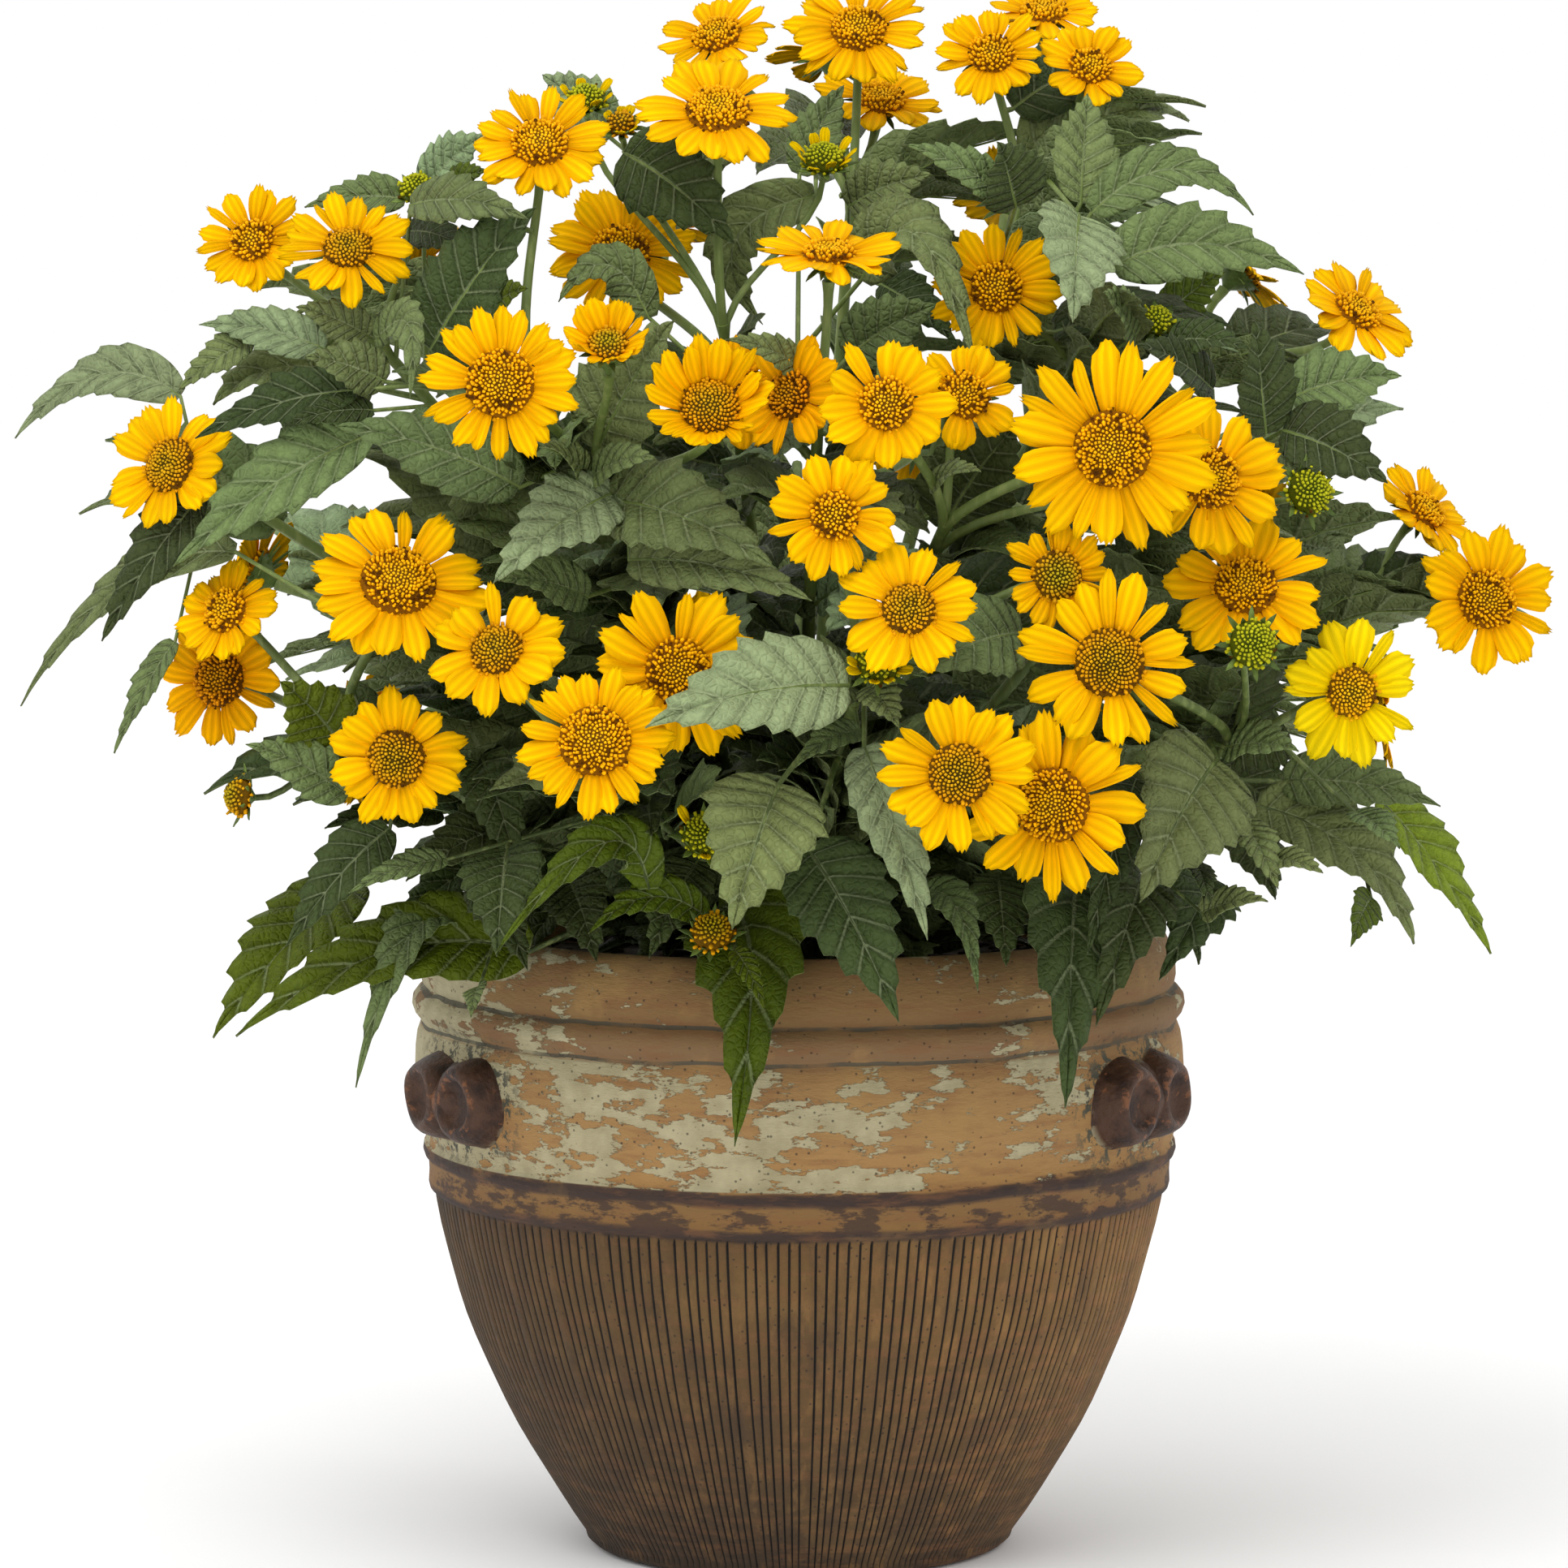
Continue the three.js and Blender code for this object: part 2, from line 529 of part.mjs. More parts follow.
// A stalk whose end widens into a star of bracts: behind a flower head it is a flat whorl of
// four, and on a bud it closes over the top
function stalkedStar(head, curve) {
  const corners = [];
  const faces = [];
  const frames = curve.computeFrenetFrames(stalkSteps, false);
  for (let i = 0; i <= stalkSteps; i += 1) {
    const at = curve.getPointAt(i / stalkSteps);
    for (let k = 0; k < 3; k += 1) {
      const angle = k / 3 * 2 * Math.PI;
      const out = frames.normals[i].clone().multiplyScalar(stalkRadius * Math.cos(angle));
      out.addScaledVector(frames.binormals[i], stalkRadius * Math.sin(angle));
      corners.push(at.clone().add(out));
    }
  }
  for (let i = 0; i < stalkSteps; i += 1) {
    for (let k = 0; k < 3; k += 1) {
      const a = 3 * i + k;
      const b = 3 * i + (k + 1) % 3;
      faces.push([a, b, b + 3], [a, b + 3, a + 3]);
    }
  }
  faces.push([0, 2, 1]);
  const points = 2 * head.bracts;
  const first = corners.length;
  const lastRing = first - 3;
  const turnOf = (place) => {
    const away = place.clone().sub(head.middle);
    return Math.atan2(away.dot(head.along), away.dot(head.across));
  };
  const start = turnOf(corners[lastRing]);
  for (let i = 0; i < points; i += 1) {
    const star = i % 2 ? head.notchPoint : head.bractTip;
    corners.push(inFrame(head, star.out, start + (i + 0.5) / points * 2 * Math.PI, star.up));
  }
  const middle = corners.push(inFrame(head, 0, 0, head.crest)) - 1;
  for (let i = 0; i < points; i += 1) faces.push([middle, first + i, first + (i + 1) % points]);
  let k = 0;
  for (let i = 0; i < points; i += 1) {
    faces.push([first + i, lastRing + k % 3, first + (i + 1) % points]);
    if ((i + 1) * 3 / points >= k + 1) {
      faces.push([lastRing + k % 3, lastRing + (k + 1) % 3, first + (i + 1) % points]);
      k += 1;
    }
  }
  return form(corners, faces);
}

// A leaf: a keeled midrib from the stem to the tip, and a toothed edge on each side
const largeLeaf = 26;
const largeEdge = [
  { along: 0.12, out: 0.5 }, { along: 0.34, out: 1 }, { along: 0.43, out: 0.78 },
  { along: 0.62, out: 0.72 }, { along: 0.7, out: 0.48 },
];
const smallEdge = [{ along: 0.12, out: 0.5 }, { along: 0.4, out: 1 }, { along: 0.5, out: 0.72 }];
const largeRib = [0.36, 0.68];
const smallRib = [0.48];
const leafFold = 0.22;

function shellDepth([across, down]) {
  const x = (across - 983) * view.size / plantReach.x;
  const z = (view.height + (view.aim[1] - down) * view.size - plantMiddle) / plantReach.z;
  return -plantReach.y * Math.sqrt(Math.max(0.04, 1 - x * x - z * z));
}

function frontLeaf(row, shift) {
  const [near, far] = row.depths || [0.7 * shellDepth(row.base), 0.9 * shellDepth(row.tip)];
  const base = spot(row.base, near + shift);
  const tip = spot(row.tip, far + shift);
  const over = base.clone().lerp(tip, 0.5);
  over.z += 0.06 * base.distanceTo(tip);
  if (row.over) over.copy(spot(row.over, 0.5 * (near + far) + shift));
  return leafFrom(base, over, tip, row.width);
}

function leafFrom(base, over, tip, width) {
  const bend = over.clone().multiplyScalar(2).addScaledVector(base, -0.5).addScaledVector(tip, -0.5);
  const ahead = bend.clone().sub(base).normalize();
  const behind = ({ at }) => base.clone().sub(at).normalize().dot(ahead) > 0.35;
  const roots = branchPoints.filter(behind).map(({ at }) => ({ at, far: at.distanceTo(base) }));
  roots.sort((a, b) => a.far - b.far);
  const { at: root } = roots.slice(0, 12).find(({ at }) => straightClear(at, base)) || roots[0];
  return { root, base, bend, tip, width, toward: viewer };
}

// Leaves of the front turn their faces a little to the viewer
const viewer = point(0, -1, 0);

function straightClear(from, to) {
  return [0.2, 0.4, 0.6, 0.8, 1].every((share) => !inHead(from.clone().lerp(to, share)));
}

function leafCurve(leaf) {
  return new THREE.QuadraticBezierCurve3(leaf.base, leaf.bend, leaf.tip);
}

// The leaf's own directions at a share of its length: forward, to its left, and out of its face
function leafFrame(leaf, share) {
  const curve = leafCurve(leaf);
  const at = curve.getPoint(share);
  const forward = curve.getTangent(share);
  const sky = point(at.x, at.y, 0).normalize().add(leaf.toward).setZ(0.8);
  const face = sky.addScaledVector(forward, -sky.dot(forward)).normalize();
  return { at, forward, face, left: face.clone().cross(forward) };
}

function leafEdge(leaf, share, out, side) {
  const frame = leafFrame(leaf, share);
  return frame.at.addScaledVector(frame.left, side * out).addScaledVector(frame.face, leafFold * out);
}

function stitch(faces, rib, ribAlong, rim, rimAlong, flip) {
  let i = 0;
  let j = 0;
  while (i < rib.length - 1 || j < rim.length - 1) {
    const onRib = j === rim.length - 1 || (i < rib.length - 1 && ribAlong[i + 1] <= rimAlong[j + 1]);
    const next = onRib ? rib[i + 1] : rim[j + 1];
    if (rib[i] !== rim[j] && next !== rib[i] && next !== rim[j]) {
      faces.push(flip ? [rib[i], next, rim[j]] : [rib[i], rim[j], next]);
    }
    if (onRib) i += 1;
    else j += 1;
  }
}

function leafBlade(leaf) {
  const corners = [leaf.root, leaf.tip];
  const faces = [];
  const ribStations = leaf.width < largeLeaf ? smallRib : largeRib;
  const edge = leaf.width < largeLeaf ? smallEdge : largeEdge;
  const ribAlong = [-1, 0, ...ribStations, 1];
  const ribTop = [0];
  const ribUnder = [0];
  for (const share of [0, ...ribStations]) {
    const frame = leafFrame(leaf, share);
    const keel = share === 0 ? 2 * leafStalkHalf : leafThickness;
    ribTop.push(corners.push(frame.at.clone()) - 1);
    ribUnder.push(corners.push(frame.at.addScaledVector(frame.face, -keel)) - 1);
  }
  ribTop.push(1);
  ribUnder.push(1);
  const half = 0.5 * leaf.width;
  for (const side of [-1, 1]) {
    const rim = [0, corners.push(leafEdge(leaf, 0, leafStalkHalf, side)) - 1];
    const rimAlong = [-1, 0];
    for (const station of edge) {
      rim.push(corners.push(leafEdge(leaf, station.along, station.out * half, side)) - 1);
      rimAlong.push(station.along);
    }
    rim.push(1);
    rimAlong.push(1);
    stitch(faces, ribTop, ribAlong, rim, rimAlong, side === 1);
    stitch(faces, ribUnder, ribAlong, rim, rimAlong, side === -1);
  }
  return form(corners, faces);
}

// A leaf keeps clear of the flower heads, the pot and the soil
function leafClear(leaf) {
  if (!straightClear(leaf.root, leaf.base)) return false;
  for (let i = 1; i <= 10; i += 1) {
    const share = i / 10;
    const half = 0.5 * leaf.width * Math.min(1, 1.6 * (1 - share) + 0.05);
    for (const out of [-1, 0, 1]) {
      const place = leafEdge(leaf, share, Math.abs(out) * half, Math.sign(out));
      if (inHead(place) || inPot(place)) return false;
    }
  }
  return true;
}

const shifts = [0, 7, -7, 14, -14, 21, -21, 28, 36, 44];

function placedLeaf(row) {
  const options = shifts.map((shift) => frontLeaf(row, shift));
  return options.find(leafClear) || options[0];
}

// Seeded leaves of the sides and the back, in opposite pairs on the stems and flower stalks
let seed = 4211;
const seededPairs = 38;

function draw(low, high) {
  seed = (seed * 16807) % 2147483647;
  return low + (high - low) * seed / 2147483647;
}

function outness(place) {
  return Math.hypot(place.x / plantReach.x, place.y / plantReach.y, (place.z - plantMiddle) / plantReach.z);
}

function seededLeaves() {
  const high = branchPoints.filter(({ at }) => at.y > -50 && at.z > potHeight);
  const nodes = high.filter(({ at }) => outness(at) > 0.3 && outness(at) < 0.86);
  const leaves = [];
  for (let i = 0; i < seededPairs; i += 1) {
    const { at, along } = nodes[Math.floor(draw(0, nodes.length))];
    const out = point(at.x, at.y, 0).normalize();
    const across = along.clone().cross(out).normalize();
    for (const side of [-1, 1]) {
      const reach = draw(62, 92);
      const way = across.clone().multiplyScalar(side * draw(0.5, 1)).add(out);
      way.setZ(draw(-0.2, 0.6)).normalize();
      const base = at.clone().addScaledVector(way, 5);
      const tip = at.clone().addScaledVector(way, reach);
      const bend = base.clone().lerp(tip, 0.5);
      bend.z += 0.18 * reach;
      const leaf = { root: at, base, bend, tip, width: 0.4 * reach, toward: point(0, 0, 0) };
      const free = leaves.every((other) => other.tip.distanceTo(tip) > 32);
      if (free && outness(tip) < 1 && tip.y > -90 && leafClear(leaf)) leaves.push(leaf);
    }
  }
  return leaves;
}

// What each head or bud carries behind it, by its own size
function withBracts(head) {
  const under = -footDepth(head) - gap;
  return {
    ...head,
    ...headFrame(head),
    bracts: 4,
    back: under - 6,
    crest: under,
    bractTip: { out: 0.5 * head.radius, up: under - 2 },
    notchPoint: { out: 0.26 * head.radius, up: under - 1.5 },
  };
}

function asBud(bud) {
  const r = bud.radius;
  return {
    ...bud,
    ...headFrame(bud),
    bracts: 5,
    back: -0.8 * r,
    crest: 0.7 * r,
    bractTip: { out: 1.2 * r, up: 0.5 * r },
    notchPoint: { out: 0.75 * r, up: 0 },
  };
}

const headRooms = [...frontHeads, ...backHeads].map(withBracts);
const stems = stemTops.map(mainStem);
const branchPoints = stems.flatMap((curve) => joints(curve, stemSteps, 1));
const headStalks = headRooms.map((head) => stalk(head, 34));
const budRooms = buds.map(asBud);
const budStalks = budRooms.map((bud) => stalk(bud, 20));
branchPoints.push(...headStalks.flatMap((curve) => joints(curve, stalkSteps, 0.75)));

function leafyStems() {
  const side = [[crownRadius, crownFoot], [crownRadius, soilTop], [0.6 * crownRadius, soilTop + 9]];
  const crown = formOf(turned([[0, crownFoot], ...side, [0, soilTop + 10]], 12));
  const parts = [crown];
  parts.push(...stems.map((curve) => tube(curve, stemRadius, 4, stemSteps)));
  parts.push(...headRooms.map((head, i) => stalkedStar(head, headStalks[i])));
  parts.push(...budRooms.map((bud, i) => stalkedStar(bud, budStalks[i])));
  parts.push(...frontLeaves.map(placedLeaf).map(leafBlade), ...seededLeaves().map(leafBlade));
  return cleaned(wasm.Manifold.union(parts), 0.02);
}

const terracotta = new THREE.MeshStandardMaterial({ color: 0xa8794c, roughness: 0.9, metalness: 0 });
const earth = new THREE.MeshStandardMaterial({ color: 0x3a2c20, roughness: 1, metalness: 0 });
const green = new THREE.MeshStandardMaterial({ color: 0x4c6136, roughness: 0.6, metalness: 0 });
const yellow = new THREE.MeshStandardMaterial({ color: 0xffbe00, roughness: 0.5, metalness: 0 });

const plant = new THREE.Group();
plant.add(meshOf('pot', pot(), terracotta));
plant.add(meshOf('soil', soil(), earth));
plant.add(meshOf('leafy_stems', leafyStems(), green));
[...frontHeads, ...backHeads].forEach((head, i) => {
  const name = `flower_head_${String(i + 1).padStart(2, '0')}`;
  plant.add(meshOf(name, flowerHead(head, i), yellow));
});

export default plant;
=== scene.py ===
# A false sunflower in a hand-made terracotta pot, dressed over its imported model. Sizes are
# millimetres and meshes are metres, +Z up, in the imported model's frame.
import math

import bmesh
import bpy
import numpy as np
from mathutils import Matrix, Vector


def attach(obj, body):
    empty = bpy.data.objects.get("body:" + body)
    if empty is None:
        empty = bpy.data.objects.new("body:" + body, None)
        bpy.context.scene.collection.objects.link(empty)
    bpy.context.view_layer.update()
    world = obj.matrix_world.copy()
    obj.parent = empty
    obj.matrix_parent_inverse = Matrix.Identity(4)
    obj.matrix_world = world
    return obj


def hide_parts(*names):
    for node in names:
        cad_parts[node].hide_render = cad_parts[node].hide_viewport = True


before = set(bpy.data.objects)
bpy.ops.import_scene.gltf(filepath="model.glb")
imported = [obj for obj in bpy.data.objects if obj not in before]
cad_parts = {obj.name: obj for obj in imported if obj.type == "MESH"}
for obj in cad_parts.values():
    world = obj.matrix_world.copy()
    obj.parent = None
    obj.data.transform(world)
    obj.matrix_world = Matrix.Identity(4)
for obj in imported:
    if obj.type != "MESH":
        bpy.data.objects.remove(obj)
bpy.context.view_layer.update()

# The view. The eye stands 3.3 m in front of the pot and looks a few degrees down on it. The frame is
# the photograph's, 1932 pixels each way, and a pixel is 0.337 mm at the depth of the pot's middle.
MM = 0.001
SENSOR = 36
EYE_DISTANCE = 3300
EYE_PITCH = math.radians(5.6)
PICTURE = 1932
PIXEL = 0.337
AIM_SIDE = -5.7
AIM_HEIGHT = 318
camera = bpy.data.objects.new("camera", bpy.data.cameras.new("camera"))
camera.data.sensor_width = SENSOR
camera.data.lens = SENSOR * EYE_DISTANCE / (PICTURE * PIXEL)
camera.location = (
    AIM_SIDE * MM,
    -EYE_DISTANCE * math.cos(EYE_PITCH) * MM,
    (AIM_HEIGHT + EYE_DISTANCE * math.sin(EYE_PITCH)) * MM,
)
camera.rotation_euler = (math.pi / 2 - EYE_PITCH, 0, 0)
bpy.context.scene.collection.objects.link(camera)
bpy.context.scene.camera = camera

# The pot's clay wall. A potter threw it, combed the belly with a toothed tool while it was wet,
# cut two cords and a ring round the collar, rolled the rim, and limewashed it after firing.
POT_RIM = 262
FLOOR = 14
BELLY_FOOT = 6
BELLY_MIDDLE = 70.5
BELLY_TOP = 150
BELLY_ROWS = 16
CORDS_TOP = 170
RING = 220
COMB_TEETH = 6
COMB_COUNT = 33 * COMB_TEETH
COMB_DEPTH = 1.4
COMB_CROWDING = 0.076
COMB_PLACES = (0, 0.15, 0.85)
COMB_CUTS = (1, 0, 0)
COLLAR = [
    (152.2, 150), (153.9, 151.2), (154.4, 153), (154.3, 158), (154.7, 163), (156.2, 164.6), (157, 167),
    (156.6, 169.6), (155.6, 171.4), (156.5, 176), (158.2, 184), (159.4, 193), (160, 202), (159.7, 210),
    (158.8, 216), (157.4, 219.6), (156.6, 221), (157.6, 222.6), (159.4, 225), (160.4, 228), (160, 231),
    (158.2, 233.4), (156, 234.6), (155, 235.6), (156.2, 237), (156.9, 240), (156.9, 245), (155.6, 250.5),
    (153.2, 255.5), (149.8, 259.6), (146, 261.7), (142.4, 261.8), (139.8, 260), (138.5, 256.5),
]
CAVITY = [(137.6, 240), (139, 165), (117, 70), (74, FLOOR), (0, FLOOR)]
FOOT_EDGE = [(0, 0), (60, 0), (82, 0), (86.5, 1.4), (88.8, 3.4)]
COLLAR_INSIDE = 141
LUG_HEIGHT = 197
LUG_TURNS = (-60, 60, 180)
LUG_HALF_WIDTH = 16
CRUST_REACH = 31
CRUST_FADE = 10


def uneven(a, b):
    """A repeatable uneven value between -1 and 1"""
    wave = math.sin(a * 12.9898 + b * 78.233) * 43758.5453
    return 2 * (wave - math.floor(wave)) - 1


def linear(colour):
    """An sRGB hex colour as linear red, green, blue and full opacity"""
    parts = [int(colour[i:i + 2], 16) / 255 for i in (1, 3, 5)]
    return tuple(c / 12.92 if c < 0.04045 else ((c + 0.055) / 1.055) ** 2.4 for c in parts) + (1.0,)


def node(material, kind, inputs=(), out=0, ramp=(), **settings):
    """Adds a node with its settings; each input is a value, a hex colour or another node's output"""
    made = material.node_tree.nodes.new("ShaderNode" + kind)
    for name, value in settings.items():
        setattr(made, name, value)
    for place, value in dict(inputs).items():
        if isinstance(value, bpy.types.NodeSocket):
            material.node_tree.links.new(value, made.inputs[place])
        else:
            made.inputs[place].default_value = linear(value) if isinstance(value, str) else value
    for i, (place, colour) in enumerate(ramp):
        element = made.color_ramp.elements[i] if i < 2 else made.color_ramp.elements.new(place)
        element.position = place
        element.color = linear(colour)
    return made.outputs[out]


def new_material(name, roughness, ior=1.5, **sockets):
    """A material with its shader's own settings; its colour and bump are linked later"""
    material = bpy.data.materials.new(name)
    material.use_nodes = True
    shader = material.node_tree.nodes["Principled BSDF"]
    shader.inputs["Roughness"].default_value = roughness
    shader.inputs["IOR"].default_value = ior
    for socket, value in sockets.items():
        shader.inputs[socket.replace("_", " ")].default_value = value
    return material


def finish_material(material, colour, height, distance):
    """Links a colour, and a height that is given in a bump of that many millimetres"""
    shader = material.node_tree.nodes["Principled BSDF"]
    bump = node(material, "Bump", {"Height": height, "Distance": distance * MM, "Strength": 1})
    material.node_tree.links.new(colour, shader.inputs["Base Color"])
    material.node_tree.links.new(bump, shader.inputs["Normal"])


def piece(name, mesh, materials, slot, *nodes):
    """A finished piece of the object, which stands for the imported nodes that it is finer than"""
    made = bpy.data.objects.new(name, mesh)
    bpy.context.scene.collection.objects.link(made)
    for material in materials:
        mesh.materials.append(material)
    mesh.shade_smooth()
    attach(made, "root")
    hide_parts(*nodes)
    return made


def spun(profile, steps):
    """A closed turned form from a profile of radii and heights, millimetres"""
    bm = bmesh.new()
    corners = [bm.verts.new((r, 0, z)) for r, z in profile]
    edges = [bm.edges.new(pair) for pair in zip(corners, corners[1:])]
    bmesh.ops.spin(bm, geom=corners + edges, cent=(0, 0, 0), axis=(0, 0, 1),
                   angle=2 * math.pi, steps=steps, use_merge=True)
    bmesh.ops.remove_doubles(bm, verts=bm.verts, dist=0.001)
    bmesh.ops.recalc_face_normals(bm, faces=bm.faces)
    return bm


def mesh_of(bm, name, scale=MM):
    """The form's mesh, in metres unless another scale is given"""
    bmesh.ops.scale(bm, verts=bm.verts, vec=(scale, scale, scale))
    mesh = bpy.data.meshes.new(name)
    bm.to_mesh(mesh)
    bm.free()
    return mesh


def belly(z):
    """The combed belly's radius at a height: a curve through its foot, its middle and its top"""
    return 89.5 + 0.581 * (z - BELLY_FOOT) - 0.001868 * (z - BELLY_FOOT) * (z - BELLY_MIDDLE)


def hand_made(angle, z):
    """How far the thrown wall strays from round"""
    broad = 0.5 * math.sin(3 * angle + 1.3)
    return broad + 0.35 * math.sin(5 * angle + z / 23) + 0.2 * math.sin(z / 7 + 2 * angle)


belly_rows = [BELLY_FOOT + (BELLY_TOP - 11) * i / (BELLY_ROWS - 1) for i in range(BELLY_ROWS)]
belly_rows += [BELLY_TOP - 2.4, BELLY_TOP - 0.7]
pot_columns = COMB_COUNT * len(COMB_PLACES)
pot_form = spun(FOOT_EDGE + [(belly(z), z) for z in belly_rows] + COLLAR + CAVITY, pot_columns)
comb_mark = pot_form.verts.layers.float.new("comb")
lug_mark = pot_form.verts.layers.float.new("by lug")
for vert in pot_form.verts:
    x, y, z = vert.co
    radius = math.hypot(x, y)
    angle = math.atan2(y, x)
    if radius < (belly(z) - 8 if z < BELLY_TOP else COLLAR_INSIDE):
        continue
    cut = 0
    if z < BELLY_TOP - 0.5 and radius > belly(max(z, BELLY_FOOT)) - 12:
        column = round(angle / (2 * math.pi) * pot_columns)
        groove, k = divmod(column % pot_columns, len(COMB_PLACES))
        fade = min(1, max(0, (z - 1) / 9)) * min(1, (BELLY_TOP - z) / 2)
        cut = COMB_CUTS[k] * fade * (0.85 + 0.12 * uneven(groove, 1) + 0.12 * uneven(groove, round(z / 9)))
        nearest = groove + round(COMB_PLACES[k])
        stray = 0.05 * uneven(nearest, 2) + 0.03 * math.sin(z / 17 + 9 * uneven(nearest, 3))
        stray -= COMB_CROWDING * (nearest % COMB_TEETH)
        angle = (groove + COMB_PLACES[k] + stray) / COMB_COUNT * 2 * math.pi
        vert[comb_mark] = cut
    beside = min(abs(math.remainder(angle - math.radians(turn - 90), 2 * math.pi)) for turn in LUG_TURNS)
    away = math.hypot(max(0, beside * radius - LUG_HALF_WIDTH), z - LUG_HEIGHT)
    vert[lug_mark] = min(1, max(0, (CRUST_REACH - away) / CRUST_FADE))
    radius += hand_made(angle, z) - COMB_DEPTH * cut
    vert.co = (radius * math.cos(angle), radius * math.sin(angle), z)

# Low-fired clay, limewashed and weathered: matt, ochre to olive-brown where the clay is bare, cream
# flakes of old lime on the collar and dark slip on the cords. Painted shade makes the belly's grooves
# near black and the belly darker towards its foot and on its left, and painted light makes it paler
# on its right.
clay = new_material("weathered terracotta", 0.85)
SMOOTH = {"interpolation_type": "SMOOTHSTEP"}
BLEND = {"data_type": "RGBA", "out": 2}
place = node(clay, "TexCoord", out="Object")
along_x, height = [node(clay, "SeparateXYZ", {0: place}, out=axis) for axis in ("X", "Z")]
cloud = node(clay, "TexNoise", {"Vector": place, "Scale": 1 / (30 * MM), "Detail": 3})
level = node(clay, "Math", {0: cloud, 1: 4 * MM, 2: height}, operation="MULTIPLY_ADD")
level = node(clay, "Math", {0: level, 1: 2 * MM}, operation="SUBTRACT")
level_share = node(clay, "Math", {0: level, 1: POT_RIM * MM}, operation="DIVIDE")
# By height: painted shade darkens the belly towards its foot; the cords take dark slip and the collar and rim
# are ochre.
rows = node(clay, "ValToRGB", {0: level_share}, ramp=[
    (0, "#38291B"), (1, "#84663E"), (0.1, "#4E391D"), (0.3, "#614724"), (0.52, "#6E5128"), (0.566, "#664A26"),
    (0.57, "#3A2A20"), (0.584, "#33251F"), (0.59, "#7C5A2E"), (0.622, "#816036"), (0.627, "#372721"),
    (0.644, "#2E211C"), (0.649, "#9C7542"), (0.7, "#A07A48"), (0.83, "#987546"), (0.85, "#7C6040"),
    (0.93, "#826338"),
])
level_bands = node(clay, "Mapping", {"Vector": place, "Scale": (1, 1, 6)})
streak_noise = {"Vector": level_bands, "Scale": 1 / (26 * MM), "Detail": 5, "Roughness": 0.62}
streaks = node(clay, "TexNoise", streak_noise)
streak_share = node(clay, "MapRange", {0: streaks, 1: 0.44, 2: 0.68, 4: 0.5}, **SMOOTH)
streaked = node(clay, "Mix", {0: streak_share, 6: rows, 7: "#7C5230"}, **BLEND)
blotch = node(clay, "TexNoise", {"Vector": place, "Scale": 1 / (34 * MM), "Detail": 4, "Roughness": 0.6})
over_belly = {0: height, 1: (BELLY_TOP - 1) * MM, 2: (BELLY_TOP + 1) * MM, 3: 1, 4: 0}
on_belly = node(clay, "MapRange", over_belly, **SMOOTH)
over_cords = {0: height, 1: (CORDS_TOP - 1) * MM, 2: (CORDS_TOP + 1) * MM, 3: 0.14, 4: 0.5}
above_cords = node(clay, "MapRange", over_cords, **SMOOTH)
ochre_share = node(clay, "MapRange", {0: blotch, 1: 0.5, 2: 0.68, 4: above_cords}, **SMOOTH)
ochre = node(clay, "Mix", {0: ochre_share, 6: streaked, 7: "#A5824C"}, **BLEND)
past_cords = {0: height, 1: (CORDS_TOP + 1) * MM, 2: (CORDS_TOP + 2) * MM, 3: 0.85, 4: 0}
stained = node(clay, "MapRange", past_cords, **SMOOTH)
in_cords = {0: height, 1: (BELLY_TOP - 2) * MM, 2: (BELLY_TOP + 2) * MM, 3: 0, 4: stained}
stained = node(clay, "MapRange", in_cords, **SMOOTH)
squat = node(clay, "Mapping", {"Vector": place, "Scale": (1, 1, 2.8)})
flake = node(clay, "TexNoise", {"Vector": squat, "Scale": 1 / (24 * MM), "Detail": 9, "Roughness": 0.68})
stain_share = node(clay, "MapRange", {0: flake, 1: 0.47, 2: 0.55, 4: stained}, **SMOOTH)
ochre = node(clay, "Mix", {0: stain_share, 6: ochre, 7: "#3A2921"}, **BLEND)

# The lime lies in sharp-edged flakes on the band between the cords and the ring, thicker on the
# left of the front, with a few flakes on the rim.
patchy = node(clay, "TexNoise", {"Vector": place, "Scale": 1 / (95 * MM), "Detail": 2})
flakes = node(clay, "Math", {0: patchy, 1: 0.55, 2: flake}, operation="MULTIPLY_ADD")
flakes = node(clay, "Math", {0: along_x, 1: -0.42, 2: flakes}, operation="MULTIPLY_ADD")
in_band = node(clay, "MapRange", {0: height, 1: (CORDS_TOP - 0.6) * MM, 2: CORDS_TOP * MM}, **SMOOTH)
past_ring = {0: height, 1: (RING - 1) * MM, 2: (RING + 1) * MM}
in_band = node(clay, "MapRange", {**past_ring, 3: in_band, 4: 0}, **SMOOTH)
above_band = node(clay, "MapRange", past_ring, **SMOOTH)
band_lime = node(clay, "MapRange", {0: flakes, 1: 0.768, 2: 0.783, 4: in_band}, **SMOOTH)
rim_lime = node(clay, "MapRange", {0: flakes, 1: 0.84, 2: 0.855, 4: above_band}, **SMOOTH)
lime = node(clay, "Math", {0: band_lime, 1: rim_lime}, operation="MAXIMUM")
powder = node(clay, "TexNoise", {"Vector": place, "Scale": 1 / (9 * MM), "Detail": 5})
lime_colour = node(clay, "Mix", {0: powder, 6: "#867E5C", 7: "#C4BB98"}, **BLEND)
lime_share = node(clay, "Math", {0: lime, 1: 0.92}, operation="MULTIPLY")
washed = node(clay, "Mix", {0: lime_share, 6: ochre, 7: lime_colour}, **BLEND)
line_cloud = node(clay, "MapRange", {0: blotch, 1: 0.3, 2: 0.5, 3: 0.15, 4: 0.85}, **SMOOTH)
for line_height in (RING + 1, RING + 15):
    away = node(clay, "Math", {0: level, 1: line_height * MM, 2: 0.8 * MM}, operation="COMPARE")
    line_share = node(clay, "Math", {0: away, 1: line_cloud}, operation="MULTIPLY")
    washed = node(clay, "Mix", {0: line_share, 6: washed, 7: "#4A483C"}, **BLEND)
